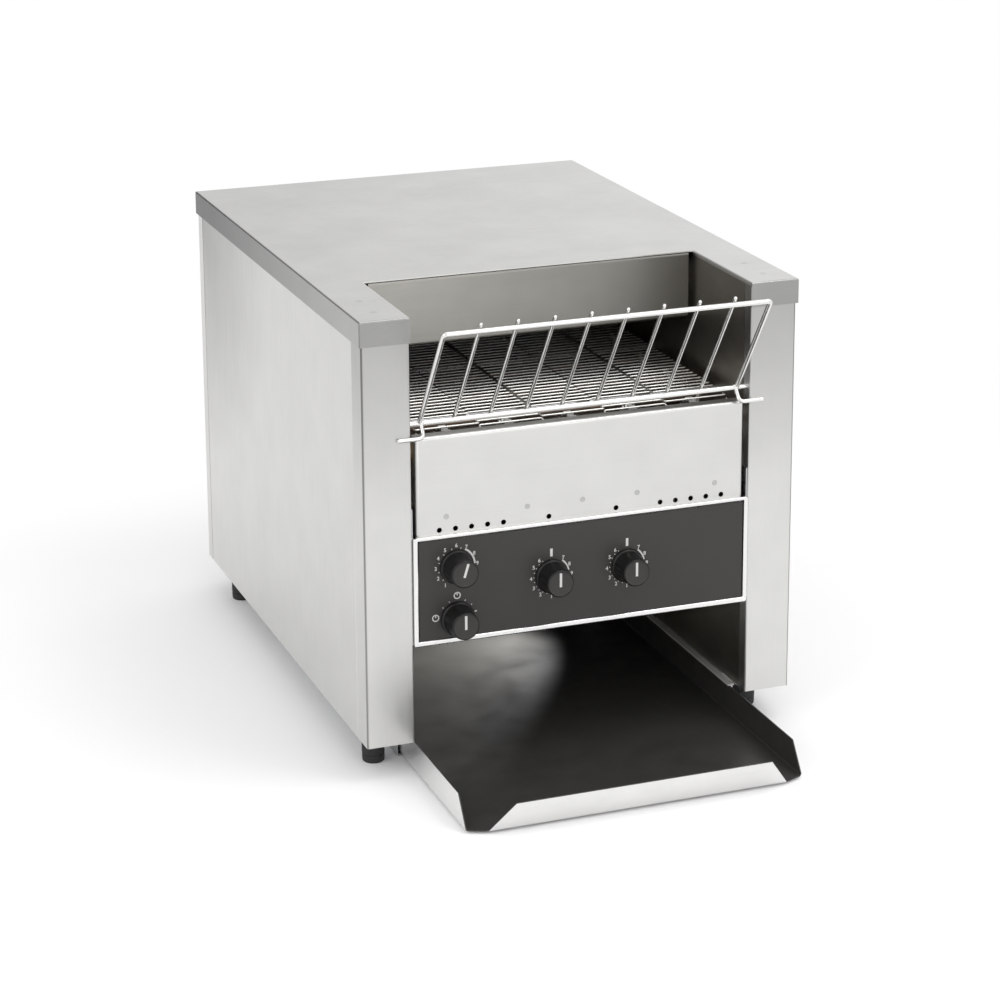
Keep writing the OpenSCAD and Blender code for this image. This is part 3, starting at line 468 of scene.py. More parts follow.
def plain_finishes(look):
    """Rows of a name, colour, roughness, metallic, other sockets, and grains."""
    moulded = [(name, shade, rough, 0, {"Specular IOR Level": 0.35}, ("tint", 7, 0.86, 1.1),
                ("shine", 1.5, rough * 0.85, rough * 1.2), ("relief", grain, 0.02, 1, 2))
               for name, shade, rough, grain in (
                   # painted light: the knob's face takes a lighter copy of the knob's black
                   # plastic, standing in for the light on it
                   ("knob", look.knob, 0.42, 0.35), ("knob_face", look.knob_face, 0.46, 0.3),
                   ("control_body", (0.05, 0.05, 0.055), 0.45, 0.5),
                   ("fan_plastic", (0.018, 0.018, 0.02), 0.5, 0.6),
                   ("terminal", (0.72, 0.68, 0.56), 0.45, 0.5))]
    return (
        *moulded,
        ("trim", look.trim, 0.24, 1, {}, ("tint", 20, 0.95), ("shine", 6, 0.2, 0.28)),
        ("weld_mark", (0.52, 0.52, 0.51), 0.34, 1, {}, ("tint", 0.8, 0.75, 1.1),
         ("shine", 1, 0.26, 0.44)),
        ("nylon", (0.5, 0.495, 0.48), 0.5, 0, {}, ("tint", 9, 0.82, 1, 4, (1, 4, 1)),
         ("relief", 0.7, 0.03, 1, 2, (1, 10, 1))),
        ("plated", (0.6, 0.61, 0.62), 0.34, 1, {}, ("tint", 2.4, 0.86, 1, 0), ("tint", 9, 0.9),
         ("shine", 1.7, 0.26, 0.46, 0)),
        ("wool", (0.78, 0.76, 0.7), 0.95, 0, {"Sheen Weight": 0.25},
         ("tint", 3, 0.72, 1, 5, (6, 1, 1)), ("relief", 1.4, 0.7, 1, 5, (8, 1, 1))),
        ("tube", (0.19, 0.155, 0.125), 0.42, 0.85, {},
         ("tint", 14, (0.62, 0.6, 0.66), (1.25, 1.1, 1.0), 4, (0.6, 1, 1)),
         ("shine", 0.6, 0.3, 0.55, 3, (20, 1, 1)), ("relief", 0.4, 0.02, 1, 3, (30, 1, 1))),
        ("ceramic", (0.8, 0.77, 0.7), 0.5, 0, {"Coat Weight": 0.15}, ("tint", 6, 0.86, 1, 5),
         ("relief", 0.5, 0.03, 1, 2)),
        ("belt_wire", look.belt, 0.3, 1, {}, ("tint", 26, (0.9, 0.88, 0.84), 1, 5),
         ("tint", 1.2, 0.86, 1, 3, (5, 1, 1)), ("shine", 1, 0.22, 0.42, 3, (8, 1, 1))),
        ("cut_steel", (0.46, 0.455, 0.45), 0.4, 1, {}, ("tint", 5, 0.78, 1, 4),
         ("shine", 0.5, 0.3, 0.52, 3, (1, 8, 8)), ("relief", 0.4, 0.012, 1, 3, (1, 12, 12))),
        ("bronze", (0.5, 0.33, 0.15), 0.42, 1, {}, ("tint", 0.7, 0.7, 1.05, 2),
         ("shine", 2, 0.34, 0.55)),
        ("motor_paint", (0.055, 0.056, 0.06), 0.5, 0, {}, ("tint", 12, 0.8, 1.15),
         ("relief", 1.1, 0.06, 0.6, 0)),
        ("overlay", look.overlay, 0.46, 0, {"Specular IOR Level": 0.4},
         ("tint", 60, 0.94, 1.04, 2), ("shine", 0.5, 0.36, 0.48, 2), ("relief", 0.3, 0.008, 1, 2)),
        ("board", (0.03, 0.12, 0.05), 0.32, 0, {"Coat Weight": 0.3},
         ("tint", 1.6, (0.5, 0.7, 0.5), (1.3, 1.15, 1.2), 1, (1, 1, 4)),
         ("relief", 1.6, 0.05, 1, 1, (1, 1, 4))),
        ("rubber", (0.016, 0.016, 0.016), 0.72, 0, {}, ("tint", 4, 0.8, 1.5, 4),
         ("relief", 0.5, 0.05)),
        ("bright_wire", look.rack, 0.16, 1, {}, ("tint", 16, 0.9),
         ("tint", 0.7, 0.93, 1, 3, (6, 1, 1)), ("shine", 1.2, 0.12, 0.24, 2)),
        ("print", look.print_white, 0.55, 0, {}, ("tint", 0.5, 0.9, 1, 2)),
    )


def make_finishes():
    """Every finish of the toaster, by name."""
    look = bpy.context.scene.toaster_finishes
    gloss, left = look.steel_roughness, CAD_BOX[0][0]
    made = {}
    for name, colour, roughness, metallic, sockets, *grains in plain_finishes(look):
        made[name] = Finish(name, colour, roughness, metallic, sockets)
        for grain in grains:
            made[name].grain(*grain)
    belt = made["belt_wire"]
    # painted shade: the belt wire darkens from the hood's front backwards, standing in for the
    # shade inside the tunnel
    belt.tint(belt.along("Y", 0, 1, -88 * MM, -60 * MM), 1.0, 0.36)

    for name, colour, grain in (("case_x", look.steel, 0), ("tray_steel", look.trim, 0),
                                ("column", look.steel, 2), ("side", look.steel, 2)):
        made[name] = brushed(name, colour, gloss, grain)
    column, side = made["column"], made["side"]
    # painted shade: the columns darken towards their tops
    column.tint(column.along("Z", 0, 1, 215 * MM, 372 * MM), 1.0, 0.62)
    # painted shade: a dark line down each column's outer front fold
    column.tint(column.spot(183.5, FRONT, 0.9, 0.8), 1.0, 0.4)
    # painted shade: the left side panel darkens towards its top rear corner
    side.tint(side.near(side.place, (left, 0.3, 0.37), 20, 210, 0, 1), 0.56, 1.0)

    cover = made["cover"] = brushed("cover", look.steel, gloss * 0.95, 0, drawn=40, blotch=0.08)
    # painted shade: the cover's left flange darkens towards the rear
    cover.tint(cover.maths("MULTIPLY", cover.along("X", 1, 0, left, left + 1.2 * MM),
                           cover.along("Y", 0.45, 1, -150 * MM, 250 * MM)), 1.0, 0.16)
    # painted shade: the front faces of the cover's flanges are darkened
    cover.tint(cover.along("Y", 1, 0, FRONT - 1.1 * MM, FRONT - 0.4 * MM), 1.0, 0.5)
    for y in (23, 59):
        # each dent is pressed in by relief, and its colour is darkened as painted shade in the
        # hollow
        dent_and_painted_shade = cover.spot(165, FRONT + y * MM, 2.2, 1.6)
        cover.tint(dent_and_painted_shade, 1.0, 0.86)
        cover.relief(dent_and_painted_shade, 0.08)

    hood = made["hood"] = brushed("hood", (0.4, 0.39, 0.36), 0.36, 0, blotch=0.08)
    # painted shade and reflection: the hood front darkens towards the right, where it mirrors the
    # dark right inner wall
    hood.tint(hood.along("X", 0, 1, -110 * MM, 130 * MM), 1.0, 0.55)
    chamber = made["chamber"] = brushed("chamber", look.chamber, 0.38, 1, drawn=30, depth=0.008,
                                        blotch=0.12)
    chamber.tint(chamber.noise(38, (1, 1.6, 1), 5, 0.6), (0.74, 0.68, 0.6), (1.0, 0.99, 0.97))

    coat = made["coating"] = Finish("coating", look.coating, 0.42, 0, {"Specular IOR Level": 0.6})
    coat.grain("tint", 70, 0.88, 1.12)
    # painted light: a patch on the back left of the tray floor and slide, behind a ragged diagonal
    # line, is lit to up to five times the coating's colour and fades towards the front
    painted_light_across = coat.node("VectorMath", {0: coat.place, 1: (-0.797, 0.604, 0.0)},
                       operation="DOT_PRODUCT")["Value"]
    painted_light_edge = coat.maths("ADD", painted_light_across, coat.between(coat.noise(60, detail=4), -18 * MM, 18 * MM))
    coat.tint(coat.maths("MULTIPLY", coat.between(painted_light_edge, 0, 1, -35 * MM, 20 * MM),
                         coat.along("Y", 0.1, 1.0, -230 * MM, 20 * MM)), 1.0, 5.0)
    for grain in (("tint", 0.9, 0.9, 1.1, 2), ("shine", 26, 0.38, 0.5, 4),
                  ("relief", 0.8, 0.012)):
        coat.grain(*grain)
    return {name: finish.material for name, finish in made.items()}


FINISHES = {}
CARRIED = {
    "chamber": "left_inner_wall right_inner_wall upper_reflector lower_deck belt_rails",
    "plated": "base_plate left_rear_post right_rear_post foot_nuts rear_screws motor_posts"
              " left_tray_runner right_tray_runner control_box rail_cross_rods",
    "wool": "hood_insulation",
    "tube": "upper_heaters lower_heaters",
    "ceramic": "heater_insulators",
    "cut_steel": "front_shaft rear_shaft front_sprockets rear_sprockets drive_coupling"
                 " speed_spindle selector_spindle top_heat_spindle bottom_heat_spindle",
    "bronze": "front_bushes rear_bushes",
    "motor_paint": "gear_motor",
    "overlay": "control_plate",
    "board": "speed_board",
    "control_body": "speed_control selector_switch top_heat_control bottom_heat_control",
    "coating": "slide",
    "fan_plastic": "fan_frame fan_rotor cord_gland",
    "terminal": "terminal_block",
}


def finish(name):
    """A finish by name, made with all the others the first time."""
    if not FINISHES:
        FINISHES.update(make_finishes())
    return FINISHES[name]


# ---- sizes that a user would change ----


def length(name, description, default, min=0):
    """A length, given in mm."""
    return FloatProperty(name=name, description=description, default=default * MM, min=min * MM,
                         unit="LENGTH", subtype="DISTANCE", precision=5)


def lean(name, description, degrees):
    """An angle, given in degrees."""
    return FloatProperty(name=name, description=description, default=np.radians(degrees),
                         subtype="ANGLE", unit="ROTATION")


def number(name, description, default, min=1):
    """A count."""
    return IntProperty(name=name, description=description, default=default, min=min)


def colour(name, description, default):
    """A colour, given in linear light."""
    return FloatVectorProperty(name=name, description=description, default=default,
                               subtype="COLOR", min=0, max=1, size=3)


class SheetSizes(bpy.types.PropertyGroup):
    """Sizes of the folded sheet"""
    thickness: length("Sheet", "Thickness of the sheet", 1, 0.5)
    fold: length("Fold radius", "Outer radius of a fold", 1.5, 1.1)
    rim: length("Rim", "Easing of a cut edge", 0.16)
    notch_lip: length("Notch lip", "Depth of the lip round the loading notch", 3.4)


class WireSizes(bpy.types.PropertyGroup):
    """Sizes of the belt and the feed rack"""
    belt_wire: length("Belt wire", "Thickness of a belt wire", 1.6)
    belt_pitch: length("Belt pitch", "Distance from one belt wire to the next", 8)
    belt_gap: length("Belt gap", "Gap between a wire and the one it dips under", 0.4)
    belt_bend: length("Belt bend", "Radius of a bend in a belt wire", 1.5)
    belt_cells: number("Strands", "Strands across the belt", 5)
    sprocket_teeth: number("Teeth", "Teeth on a belt sprocket", 18)
    rod: length("Rack rod", "Thickness of the rack's long rods", 4.4)
    wire: length("Rack wire", "Thickness of the rack's slanted wires", 3.2)
    arm: length("Rack arm", "Thickness of the rack's arms", 3.6)
    wires: number("Rack wires", "Slanted wires, end wires included", 10, 2)
    height: length("Rack height", "Distance between the rack's two long rods", 105)
    lean: lean("Rack lean", "Forward lean from upright", 34.7)
    bend: length("Rack bend", "Radius of the rack's bent corners", 2.4)


class ControlSizes(bpy.types.PropertyGroup):
    """Sizes of the control panel's pieces"""
    border: length("Border", "Width of the panel's bright border at its sides", 3.7)
    border_top: length("Top border", "Width of the border along its top", 2.7)
    border_foot: length("Foot border", "Width of the border along its foot", 4.3)
    corner: length("Corner", "Outer corner radius of the border", 2.2)
    digit: length("Digit", "Height of a dial's digits", 3.2)
    digit_ring: length("Digit ring", "Radius of the ring of digits", 17.4)
    pointer: length("Pointer", "Width of a knob's pointer line", 2)
    ink: length("Ink", "Thickness of the print", 0.05)


class TraySizes(bpy.types.PropertyGroup):
    """Sizes of the toast tray"""
    fold: length("Tray fold", "Outer radius of the tray's folds", 2.5, 1.1)
    lip: length("Lip", "Length of the front lip, up its slope", 28)
    lip_lean: lean("Lip lean", "Lean of the lip from upright", 25)
    corner_x: length("Corner width", "Width of the cut corner", 17)
    corner_y: length("Corner depth", "Depth of the cut corner", 7)
    wall_back: length("Wall slope", "How far a wall's front end slopes back", 16)
    mitre: length("Mitre", "How far the lip narrows at each end", 18)
    # painted light: the pale strip over each tray wall stands in for light seen through the gap
    # there
    strip: length("Wear strip", "Width of the strip over each of the tray's walls", 5.6)


class FinishColours(bpy.types.PropertyGroup):
    """Colours and gloss of the finishes"""
    steel: colour("Case steel", "Brushed stainless of the case", (0.7, 0.697, 0.682))
    trim: colour("Trim", "Rolled stainless border", (0.86, 0.858, 0.85))
    chamber: colour("Chamber", "Steel dulled by heat", (0.4, 0.39, 0.37))
    belt: colour("Belt", "Drawn stainless wire", (0.97, 0.965, 0.95))
    rack: colour("Rack", "Bright wire", (0.84, 0.835, 0.82))
    overlay: colour("Overlay", "Control panel's face", (0.034, 0.0325, 0.03))
    knob: colour("Knob", "Moulded knob", (0.006, 0.006, 0.0055))
    # painted light: a lighter copy of the knob's plastic for the lit face of each knob
    knob_face: colour("Knob face", "Face of a knob", (0.034, 0.0325, 0.03))
    print_white: colour("Print", "White ink", (0.62, 0.61, 0.59))
    coating: colour("Coating", "Black coating of the tray and slide", (0.034, 0.0332, 0.031))
    steel_roughness: FloatProperty(name="Steel roughness", description="Mean roughness of the case",
                                   default=0.34, min=0.05, max=1, subtype="FACTOR")


class StageSizes(bpy.types.PropertyGroup):
    """Camera, floor and light"""
    eye: FloatVectorProperty(name="Eye", description="Where the camera stands", size=3,
                             default=(-0.81902, -2.19775, 0.95686), subtype="TRANSLATION",
                             unit="LENGTH")
    lens: FloatProperty(name="Lens", description="Focal length, in millimetres", default=103.94)
    floor: length("Floor", "Half the width of the floor", 5000, 1000)
    dome: FloatProperty(name="Dome", description="Strength of the even light all round",
                        default=0.95, min=0)


GROUPS = {
    "toaster_sheet": SheetSizes, "toaster_wire": WireSizes, "toaster_controls": ControlSizes,
    "toaster_tray": TraySizes, "toaster_finishes": FinishColours, "toaster_stage": StageSizes,
}

AHEAD = ((1, 0, 0), (0, 0, 1), (0, -1, 0))      # axes of a plate that faces the front
BEHIND = ((-1, 0, 0), (0, 0, 1), (0, 1, 0))     # faces the back
ABOVE = ((1, 0, 0), (0, 1, 0), (0, 0, 1))       # faces up
BELOW = ((0, 1, 0), (1, 0, 0), (0, 0, -1))      # faces down
OUT_LEFT = ((0, -1, 0), (0, 0, 1), (-1, 0, 0))  # faces left
OUT_RIGHT = ((0, 1, 0), (0, 0, 1), (1, 0, 0))   # faces right


def rectangle(u0, v0, u1, v1):
    """Corners of a rectangle, anticlockwise."""
    return [(u0, v0), (u1, v0), (u1, v1), (u0, v1)]


def plane_at(axis, value):
    """A point on the plane where axis has that value."""
    origin = np.zeros(3)
    origin[axis] = value
    return origin


# ---- case ----


class TOASTER_OT_cover(bpy.types.Operator):
    """Top cover: a plate with a notch, folded down all round"""
    bl_idname = "toaster.cover"
    bl_label = "Top cover"

    def execute(self, context):
        size = context.scene.toaster_sheet
        low, high = box("top_cover")
        notch_y = box("hood_front")[0][1]
        notch = box("right_column")[0][0] - 0.3 * MM
        outline = [(low[0], low[1]), (-notch, low[1]), (-notch, notch_y), (notch, notch_y),
                   (notch, low[1]), (high[0], low[1]), (high[0], high[1]), (low[0], high[1])]
        deep = high[2] - low[2]
        flanges = [deep, size.notch_lip, 0, size.notch_lip, deep, deep, deep, deep]
        folded("cover_sheet", "top_cover", ["cover"],
               (outline, flanges, plane_at(2, high[2]), ABOVE, size.fold))
        return {"FINISHED"}


class TOASTER_OT_sides(bpy.types.Operator):
    """Side panels: plates folded in at the front seam"""
    bl_idname = "toaster.sides"
    bl_label = "Side panels"

    def execute(self, context):
        for name, axes, sign, corner in (("left_side_panel", OUT_LEFT, LEFT, 0),
                                         ("right_side_panel", OUT_RIGHT, RIGHT, 1)):
            low, high = box(name)
            start, end = sorted((sign * low[1], sign * high[1]))
            first, last = (2.5 * MM, 8 * MM)[::sign]
            folded(name.replace("panel", "sheet"), name, ["side"],
                   (rectangle(start, low[2], end, high[2]), [0, first, 0, last],
                    plane_at(0, (low, high)[corner][0]), axes, context.scene.toaster_sheet.fold))
        return {"FINISHED"}


class TOASTER_OT_columns(bpy.types.Operator):
    """Front columns: folded channels"""
    bl_idname = "toaster.columns"
    bl_label = "Front columns"

    def execute(self, context):
        for name, sign in (("left_column", LEFT), ("right_column", RIGHT)):
            low, high = box(name)
            first, last = (high[1] - low[1], 12 * MM)[::sign]
            folded(name + "_sheet", name, ["column"],
                   (rectangle(low[0], low[2], high[0], high[2]), [0, first, 0, last],
                    plane_at(1, low[1]), AHEAD, context.scene.toaster_sheet.fold))
        return {"FINISHED"}


class TOASTER_OT_back(bpy.types.Operator):
    """Rear panel: slots, fan grille, gland and screw holes"""
    bl_idname = "toaster.back"
    bl_label = "Rear panel"

    def execute(self, context):
        low, high = box("rear_panel")
        fan = JOINTS["fan_spin"]["pos_m"]
        gland = sum(box("cord_gland")) / 2
        slots, slot_pitch, ring_pitch = 15, 16 * MM, 9 * MM
        holes = [upright_slot((k - slots // 2) * slot_pitch, high[2] - 99 * MM, high[2] - 54 * MM,
                              4 * MM) for k in range(slots)]
        for ring in (1, 2, 3):
            turn = np.arange(6 * ring) * np.pi / (3 * ring)
            for x, z in ring * ring_pitch * np.stack([np.cos(turn), np.sin(turn)], 1):
                holes.append(circle((-x, fan[2] + z), 3 * MM, 16))
        holes.append(circle((-gland[0], gland[2]), 7.05 * MM, 32))
        top = high[2] + 1 * MM
        screw = box("rear_screws")[1][0] - 3.5 * MM
        holes += [circle((x, z), 1.6 * MM, 12) for x in (-screw, screw)
                  for z in (low[2] + 30 * MM, (low[2] + top) / 2, top - 40 * MM)]
        deep = high[1] - low[1]
        folded("rear_sheet", "rear_panel", ["case_x"],
               (rectangle(-high[0], low[2], high[0], high[2]), [0, deep, 0, deep],
                plane_at(1, high[1]), BEHIND, context.scene.toaster_sheet.fold, holes))
        return {"FINISHED"}


class TOASTER_OT_fronts(bpy.types.Operator):
    """Hood front and vented front panel"""
    bl_idname = "toaster.fronts"
    bl_label = "Front plates"

    def execute(self, context):
        fold = context.scene.toaster_sheet.fold
        low, high = box("hood_front")
        deep = high[1] - low[1]
        folded("hood_sheet", "hood_front", ["hood"],
               (rectangle(low[0], low[2], high[0], high[2]), [deep, 0, deep, 0],
                plane_at(1, low[1]), AHEAD, fold * 1.6))

        low, high = box("front_panel")
        border_top = box("control_bezel")[1][2]
        deep, fold, plane = high[1] - low[1], fold * 1.9, plane_at(1, low[1])
        row = border_top + 3.4 * MM
        across = np.append(67.2 + 13.4 * np.arange(5), 28.8) * MM
        vents = [circle((x, row), 2.1 * MM) for x in np.append(-across, across)]
        folded("front_sheet", "front_panel", ["case_x"],
               (rectangle(low[0], border_top, high[0], high[2]), [0, deep, deep, deep], plane,
                AHEAD, fold, vents),
               (rectangle(low[0] + fold, low[2], high[0] - fold, border_top), [0] * 4, plane,
                AHEAD, fold))

        studs = Patches()
        profile = np.array([(2.2, -0.1), (2.3, 0.1), (1.9, 0.16), (1.5, 0.05), (0, 0.05)]) * MM
        for x in (-115, -47, 0, 47, 115):
            add_turned(studs, profile, (x * MM, low[1], row + 10.6 * MM), (0, -1, 0), 28)
        piece("front_weld_studs", studs, ["weld_mark"], slot="case_steel", angle=50)
        return {"FINISHED"}


class TOASTER_OT_feet(bpy.types.Operator):
    """Rubber feet, moulded with ribs, and their studs"""
    bl_idname = "toaster.feet"
    bl_label = "Feet"

    def execute(self, context):
        low, high = box("feet")
        radius = 9.5 * MM
        foot = box("base_plate")[0][2]
        x = high[0] - radius
        profile = [(0, 0.8), (5.5, 0.8), (6, 0), (8, 0), (8.9, 0.9), (9.1, 3), (9.1, 6.2),
                   (8.6, 6.6), (8.6, 7.4), (9.25, 7.8), (9.3, 13.2), (8.8, 13.6), (8.8, 14.4),
                   (9.4, 14.8), (9.5, 24), (9.2, 28.5), (8.5, 30), (3, 30), (3, 38), (2.6, 39),
                   (0, 39)]
        profile = np.array(profile) * MM * (1, foot / (30 * MM))
        feet = Patches()
        for y in (low[1] + radius, high[1] - radius):
            for side in (-x, x):
                add_turned(feet, profile, (side, y, 0), (0, 0, 1), 40)
        piece("moulded_feet", feet, ["rubber"], ("feet",), "foot_rubber", angle=28)
        return {"FINISHED"}


# ---- belt and rack ----


class TOASTER_OT_belt(bpy.types.Operator):
    """Wire belt: square-wave cross wires, each dipping under the next"""
    bl_idname = "toaster.belt"
    bl_label = "Wire belt"

    def execute(self, context):
        size = context.scene.toaster_wire
        low, high = box("belt")
        front = np.array(JOINTS["front_shaft_spin"]["pos_m"])[1:]
        rear = np.array(JOINTS["rear_shaft_spin"]["pos_m"])[1:]
        width = high[0] - low[0]
        pitch, radius = size.belt_pitch, size.belt_wire / 2
        loop = size.sprocket_teeth * pitch / (2 * np.pi)
        run = rear[0] - front[0]
        count = int(round(2 * run / pitch)) + size.sprocket_teeth
        dip = np.arcsin((size.belt_wire + size.belt_gap) / pitch)

        def on_loop(s):
            """Place at distance s along the loop: over the top, round the rear shaft, back
            below and round the front shaft."""
            bend = np.pi * loop
            lengths = np.array([run, bend, run, bend])
            over, rear_turn, under, front_turn = (
                np.clip(s - before, 0, span) for before, span in zip(
                    np.cumsum(lengths) - lengths, lengths))
            rear_turn, front_turn = rear_turn / loop, front_turn / loop
            y = front[0] + over - under + loop * (np.sin(rear_turn) - np.sin(front_turn))
            return np.stack([y, front[1] + loop * np.cos(rear_turn + front_turn)], 1)

        starts = on_loop(np.arange(count) * pitch)
        step = np.roll(starts, -1, 0) - starts
        reach = np.linalg.norm(step, axis=1) * np.cos(dip)
        heading = np.arctan2(step[:, 1], step[:, 0]) - dip
        ahead = np.stack([0 * heading, np.cos(heading), np.sin(heading)], 1)

        cells = size.belt_cells
        edges = low[0] + radius + (width - 2 * radius) * np.arange(cells + 1) / cells
        level = np.arange(cells) % 2
        corners = [(edges[0], 0.7)]
        for k in range(cells):
            corners += [(edges[k], level[k]), (edges[k + 1], level[k])]
        corners += [(edges[-1], 0.7)]
        corners = np.array(corners) * (1, pitch * np.cos(dip))
        line = rounded(corners, size.belt_bend, steps=3)
        share = line[:, 1] / (pitch * np.cos(dip))

        base = np.concatenate([np.zeros((count, 1)), starts], 1)
        path = base[:, None] + (share[None, :] * reach[:, None])[..., None] * ahead[:, None]
        path[..., 0] = line[None, :, 0]
        along = unit(np.gradient(path, axis=1))
        up = np.cross((1.0, 0, 0), ahead)[:, None]
        across = np.cross(along, np.broadcast_to(up, along.shape))
        sides = 7
        turn = np.linspace(0, 2 * np.pi, sides, endpoint=False)
        rings = path[:, :, None] + radius * (
            np.cos(turn)[:, None] * up[:, :, None] + np.sin(turn)[:, None] * across[:, :, None])
        quads = grid_faces(len(line), sides, join_columns=True)
        offset = (np.arange(count) * len(line) * sides)[:, None, None]
        wires = Patches()
        wires.add(rings, (quads + offset).reshape(-1, 4))
        ends = np.stack([np.arange(sides)[::-1], (len(line) - 1) * sides + np.arange(sides)])
        for cap in (ends + offset).reshape(-1, sides).tolist():
            wires.faces.append(cap)
            wires.finish.append(0)
        piece("wire_belt", wires, ["belt_wire"], ("belt",), "belt_wire", angle=60)
        return {"FINISHED"}


class TOASTER_OT_rack(bpy.types.Operator):
    """Feed rack: bent frame, slanted wires and arms with out-turned tails"""
    bl_idname = "toaster.rack"
    bl_label = "Feed rack"

    def execute(self, context):
        size = context.scene.toaster_wire
        pivot = np.array(JOINTS["rack_fold"]["pos_m"])
        rod, wire, arm = size.rod / 2, size.wire / 2, size.arm / 2
        up = np.array([0, -np.sin(size.lean), np.cos(size.lean)])
        back = np.array([0, np.cos(size.lean), np.sin(size.lean)])
        half = 135 * MM
        head = pivot + size.height * up
        right = np.array([1.0, 0, 0])
        rack = Patches()

        end = box("right_column")[0][0] + 3 * MM
        long_rod = pivot + np.array([[-end + rod, 0, 0], [end - rod, 0, 0]])
        add_wire(rack, np.linspace(*long_rod, 3), back, rod, 16)

        frame_line = [pivot - half * right, head - half * right, head + half * right,
                      pivot + half * right]
        add_wire(rack, rounded(frame_line, size.bend, 7), back, rod * 0.92, 16)

        behind = (rod + wire - 0.4 * MM) * back
        for x in np.linspace(-half, half, size.wires)[1:-1]:
            foot = pivot + behind + x * right - (rod + 1 * MM - wire) * up
            top = head + behind + x * right + (rod + 3 * MM - wire) * up
            add_wire(rack, np.linspace(foot, top, 3), right, wire, 12)

        tail = np.array([0, FRONT - arm - 0.2 * MM, pivot[2] - 10 * MM])
        for side in (LEFT, RIGHT):
            inner = side * (half - 1 * MM) * right
            outer = side * (end + 9 * MM - arm) * right
            line = [pivot + inner, tail + inner, tail + outer]
            plane = np.cross(tail - pivot, right)
            add_wire(rack, rounded(line, 4.2 * MM, 7), plane, arm, 12)
            bead = np.linspace(-1, 1, 9) * np.pi / 2
            weld = np.stack([(rod + 0.5 * MM) * np.cos(bead), 4 * MM * np.sin(bead)], 1)
            weld[[0, -1], 0] = 0
            add_turned(rack, weld, pivot + inner, right, 20)
        piece("bent_rack", rack, ["bright_wire"], ("feed_rack",), "rack_wire",
              "feed_rack_body", angle=50)
        return {"FINISHED"}


# ---- control panel ----


class TOASTER_OT_border(bpy.types.Operator):
    """Bright border of the control panel: a rounded strip carried round it"""
    bl_idname = "toaster.border"
    bl_label = "Control border"

    def execute(self, context):
        size = context.scene.toaster_controls
        low, high = box("control_bezel")
        wide, deep = size.border, high[1] - low[1]
        taller = (size.border_top - wide, size.border_foot - wide)
        soft = 0.9 * MM
        section = rounded([(0, deep), (0, 0), (wide, 0), (wide, deep)], [soft, soft * 0.8], 5)
        turn = np.linspace(0, np.pi / 2, 6)
        quarter = np.stack([np.cos(turn), np.sin(turn)], 1)
        rings = []
        spins = [np.linalg.matrix_power([[0, 1], [-1, 0]], k) for k in range(4)]
        for inset, depth in section:
            bend = max(size.corner - inset, 0.8 * MM)
            top, foot = (inset + more * inset / wide for more in taller)
            a = np.array([high[0] - inset - bend, (high[2] - low[2] - top - foot) / 2 - bend])
            middle = np.array([0, (high[2] - top + low[2] + foot) / 2])
            flat = np.concatenate([middle + a * (np.ones(2) @ spin) + bend * quarter @ spin
                                   for spin in spins])
            rings.append(np.insert(flat, 1, low[1] + depth, axis=1))
        rings = np.array(rings)
        strip = Patches()
        strip.add(rings, grid_faces(rings.shape[0], rings.shape[1], True, True))
        piece("panel_border", strip, ["trim"], ("control_bezel",), "polished_trim", closed=True)
        return {"FINISHED"}


DIALS = {name: (f"{name}_knob", f"{name}_dial", f"{name}_turn")
         for name in ("speed", "selector", "top_heat", "bottom_heat")}
TILT = {"speed": np.radians(17)}    # a knob's pointer at rest, clockwise from straight up


class TOASTER_OT_knobs(bpy.types.Operator):
    """Four knobs: flared skirt, dished face, pointer line"""
    bl_idname = "toaster.knobs"
    bl_label = "Knobs"

    def execute(self, context):
        half = context.scene.toaster_controls.pointer / 2
        for name, (cad, body, joint) in DIALS.items():
            low, high = box(cad)
            centre = np.array(JOINTS[joint]["pos_m"])
            centre[1] = high[1]
            tall, wide = (high[1] - low[1]) / MM, (high[0] - low[0]) / 2 / MM
            face, bore = wide * 22.5 / 28, 3.2
            profile = np.array([
                (bore, 0), (wide - 0.3, 0), (wide, 0.4), (wide, 1.7), (wide - 0.4, 2.4),
                (wide - 1.3, 3.0), (face + 1.4, 4.4), (face + 0.8, 5.8), (face + 0.1, tall - 1.3),
                (face - 0.15, tall - 0.55), (face - 0.75, tall - 0.1), (face - 1.2, tall),
                (face - 1.9, tall - 0.12), (face - 2.4, tall - 0.4), (0, tall - 0.4)]) * MM
            well = np.array([(0, tall * 0.6), (bore, tall * 0.6), (bore, 0)]) * MM
            knob = Patches()
            for part, look in ((profile[:-3], 0), (profile[-4:], 2), (well, 0)):
                add_turned(knob, part, centre, (0, -1, 0), 72, look)
            near, reach, turn = -2.6 * MM, face * 0.86 * MM, TILT.get(name, 0.0)
            spin = np.array([[np.cos(turn), np.sin(turn)], [-np.sin(turn), np.cos(turn)]])
            add_slab(knob, np.array(rectangle(-half, near, half, reach)) @ spin.T,
                     centre - (0, (tall - 0.42) * MM, 0), AHEAD, 0.1 * MM, finish=1)
            piece(f"{name}_knob_moulded", knob, ["knob", "print", "knob_face"], (cad,),
                  "knob_plastic", body, angle=40)
        return {"FINISHED"}


def text_points(text, high):
    """Points and faces of a digit in the built-in plain face, centred, in metres."""
    curve = put(bpy.data.curves.new("digits", "FONT"), body=text, size=high * 1.38,
                align_x="CENTER", align_y="CENTER", resolution_u=3, offset=high * 0.028)
    holder = bpy.data.objects.new("digits", curve)
    bpy.context.scene.collection.objects.link(holder)
    mesh = baked(holder)
    flat = np.array([tuple(vertex.co)[:2] for vertex in mesh.vertices])
    faces = [tuple(polygon.vertices) for polygon in mesh.polygons]
    bpy.data.objects.remove(holder)
    bpy.data.curves.remove(curve)
    bpy.data.meshes.remove(mesh)
    return flat - (flat.min(0) + flat.max(0)) / 2, faces


def clockwise(degrees):
    """Direction of each turn, clockwise from straight up."""
    turn = np.radians(degrees)
    return np.stack([np.sin(turn), np.cos(turn)], -1)


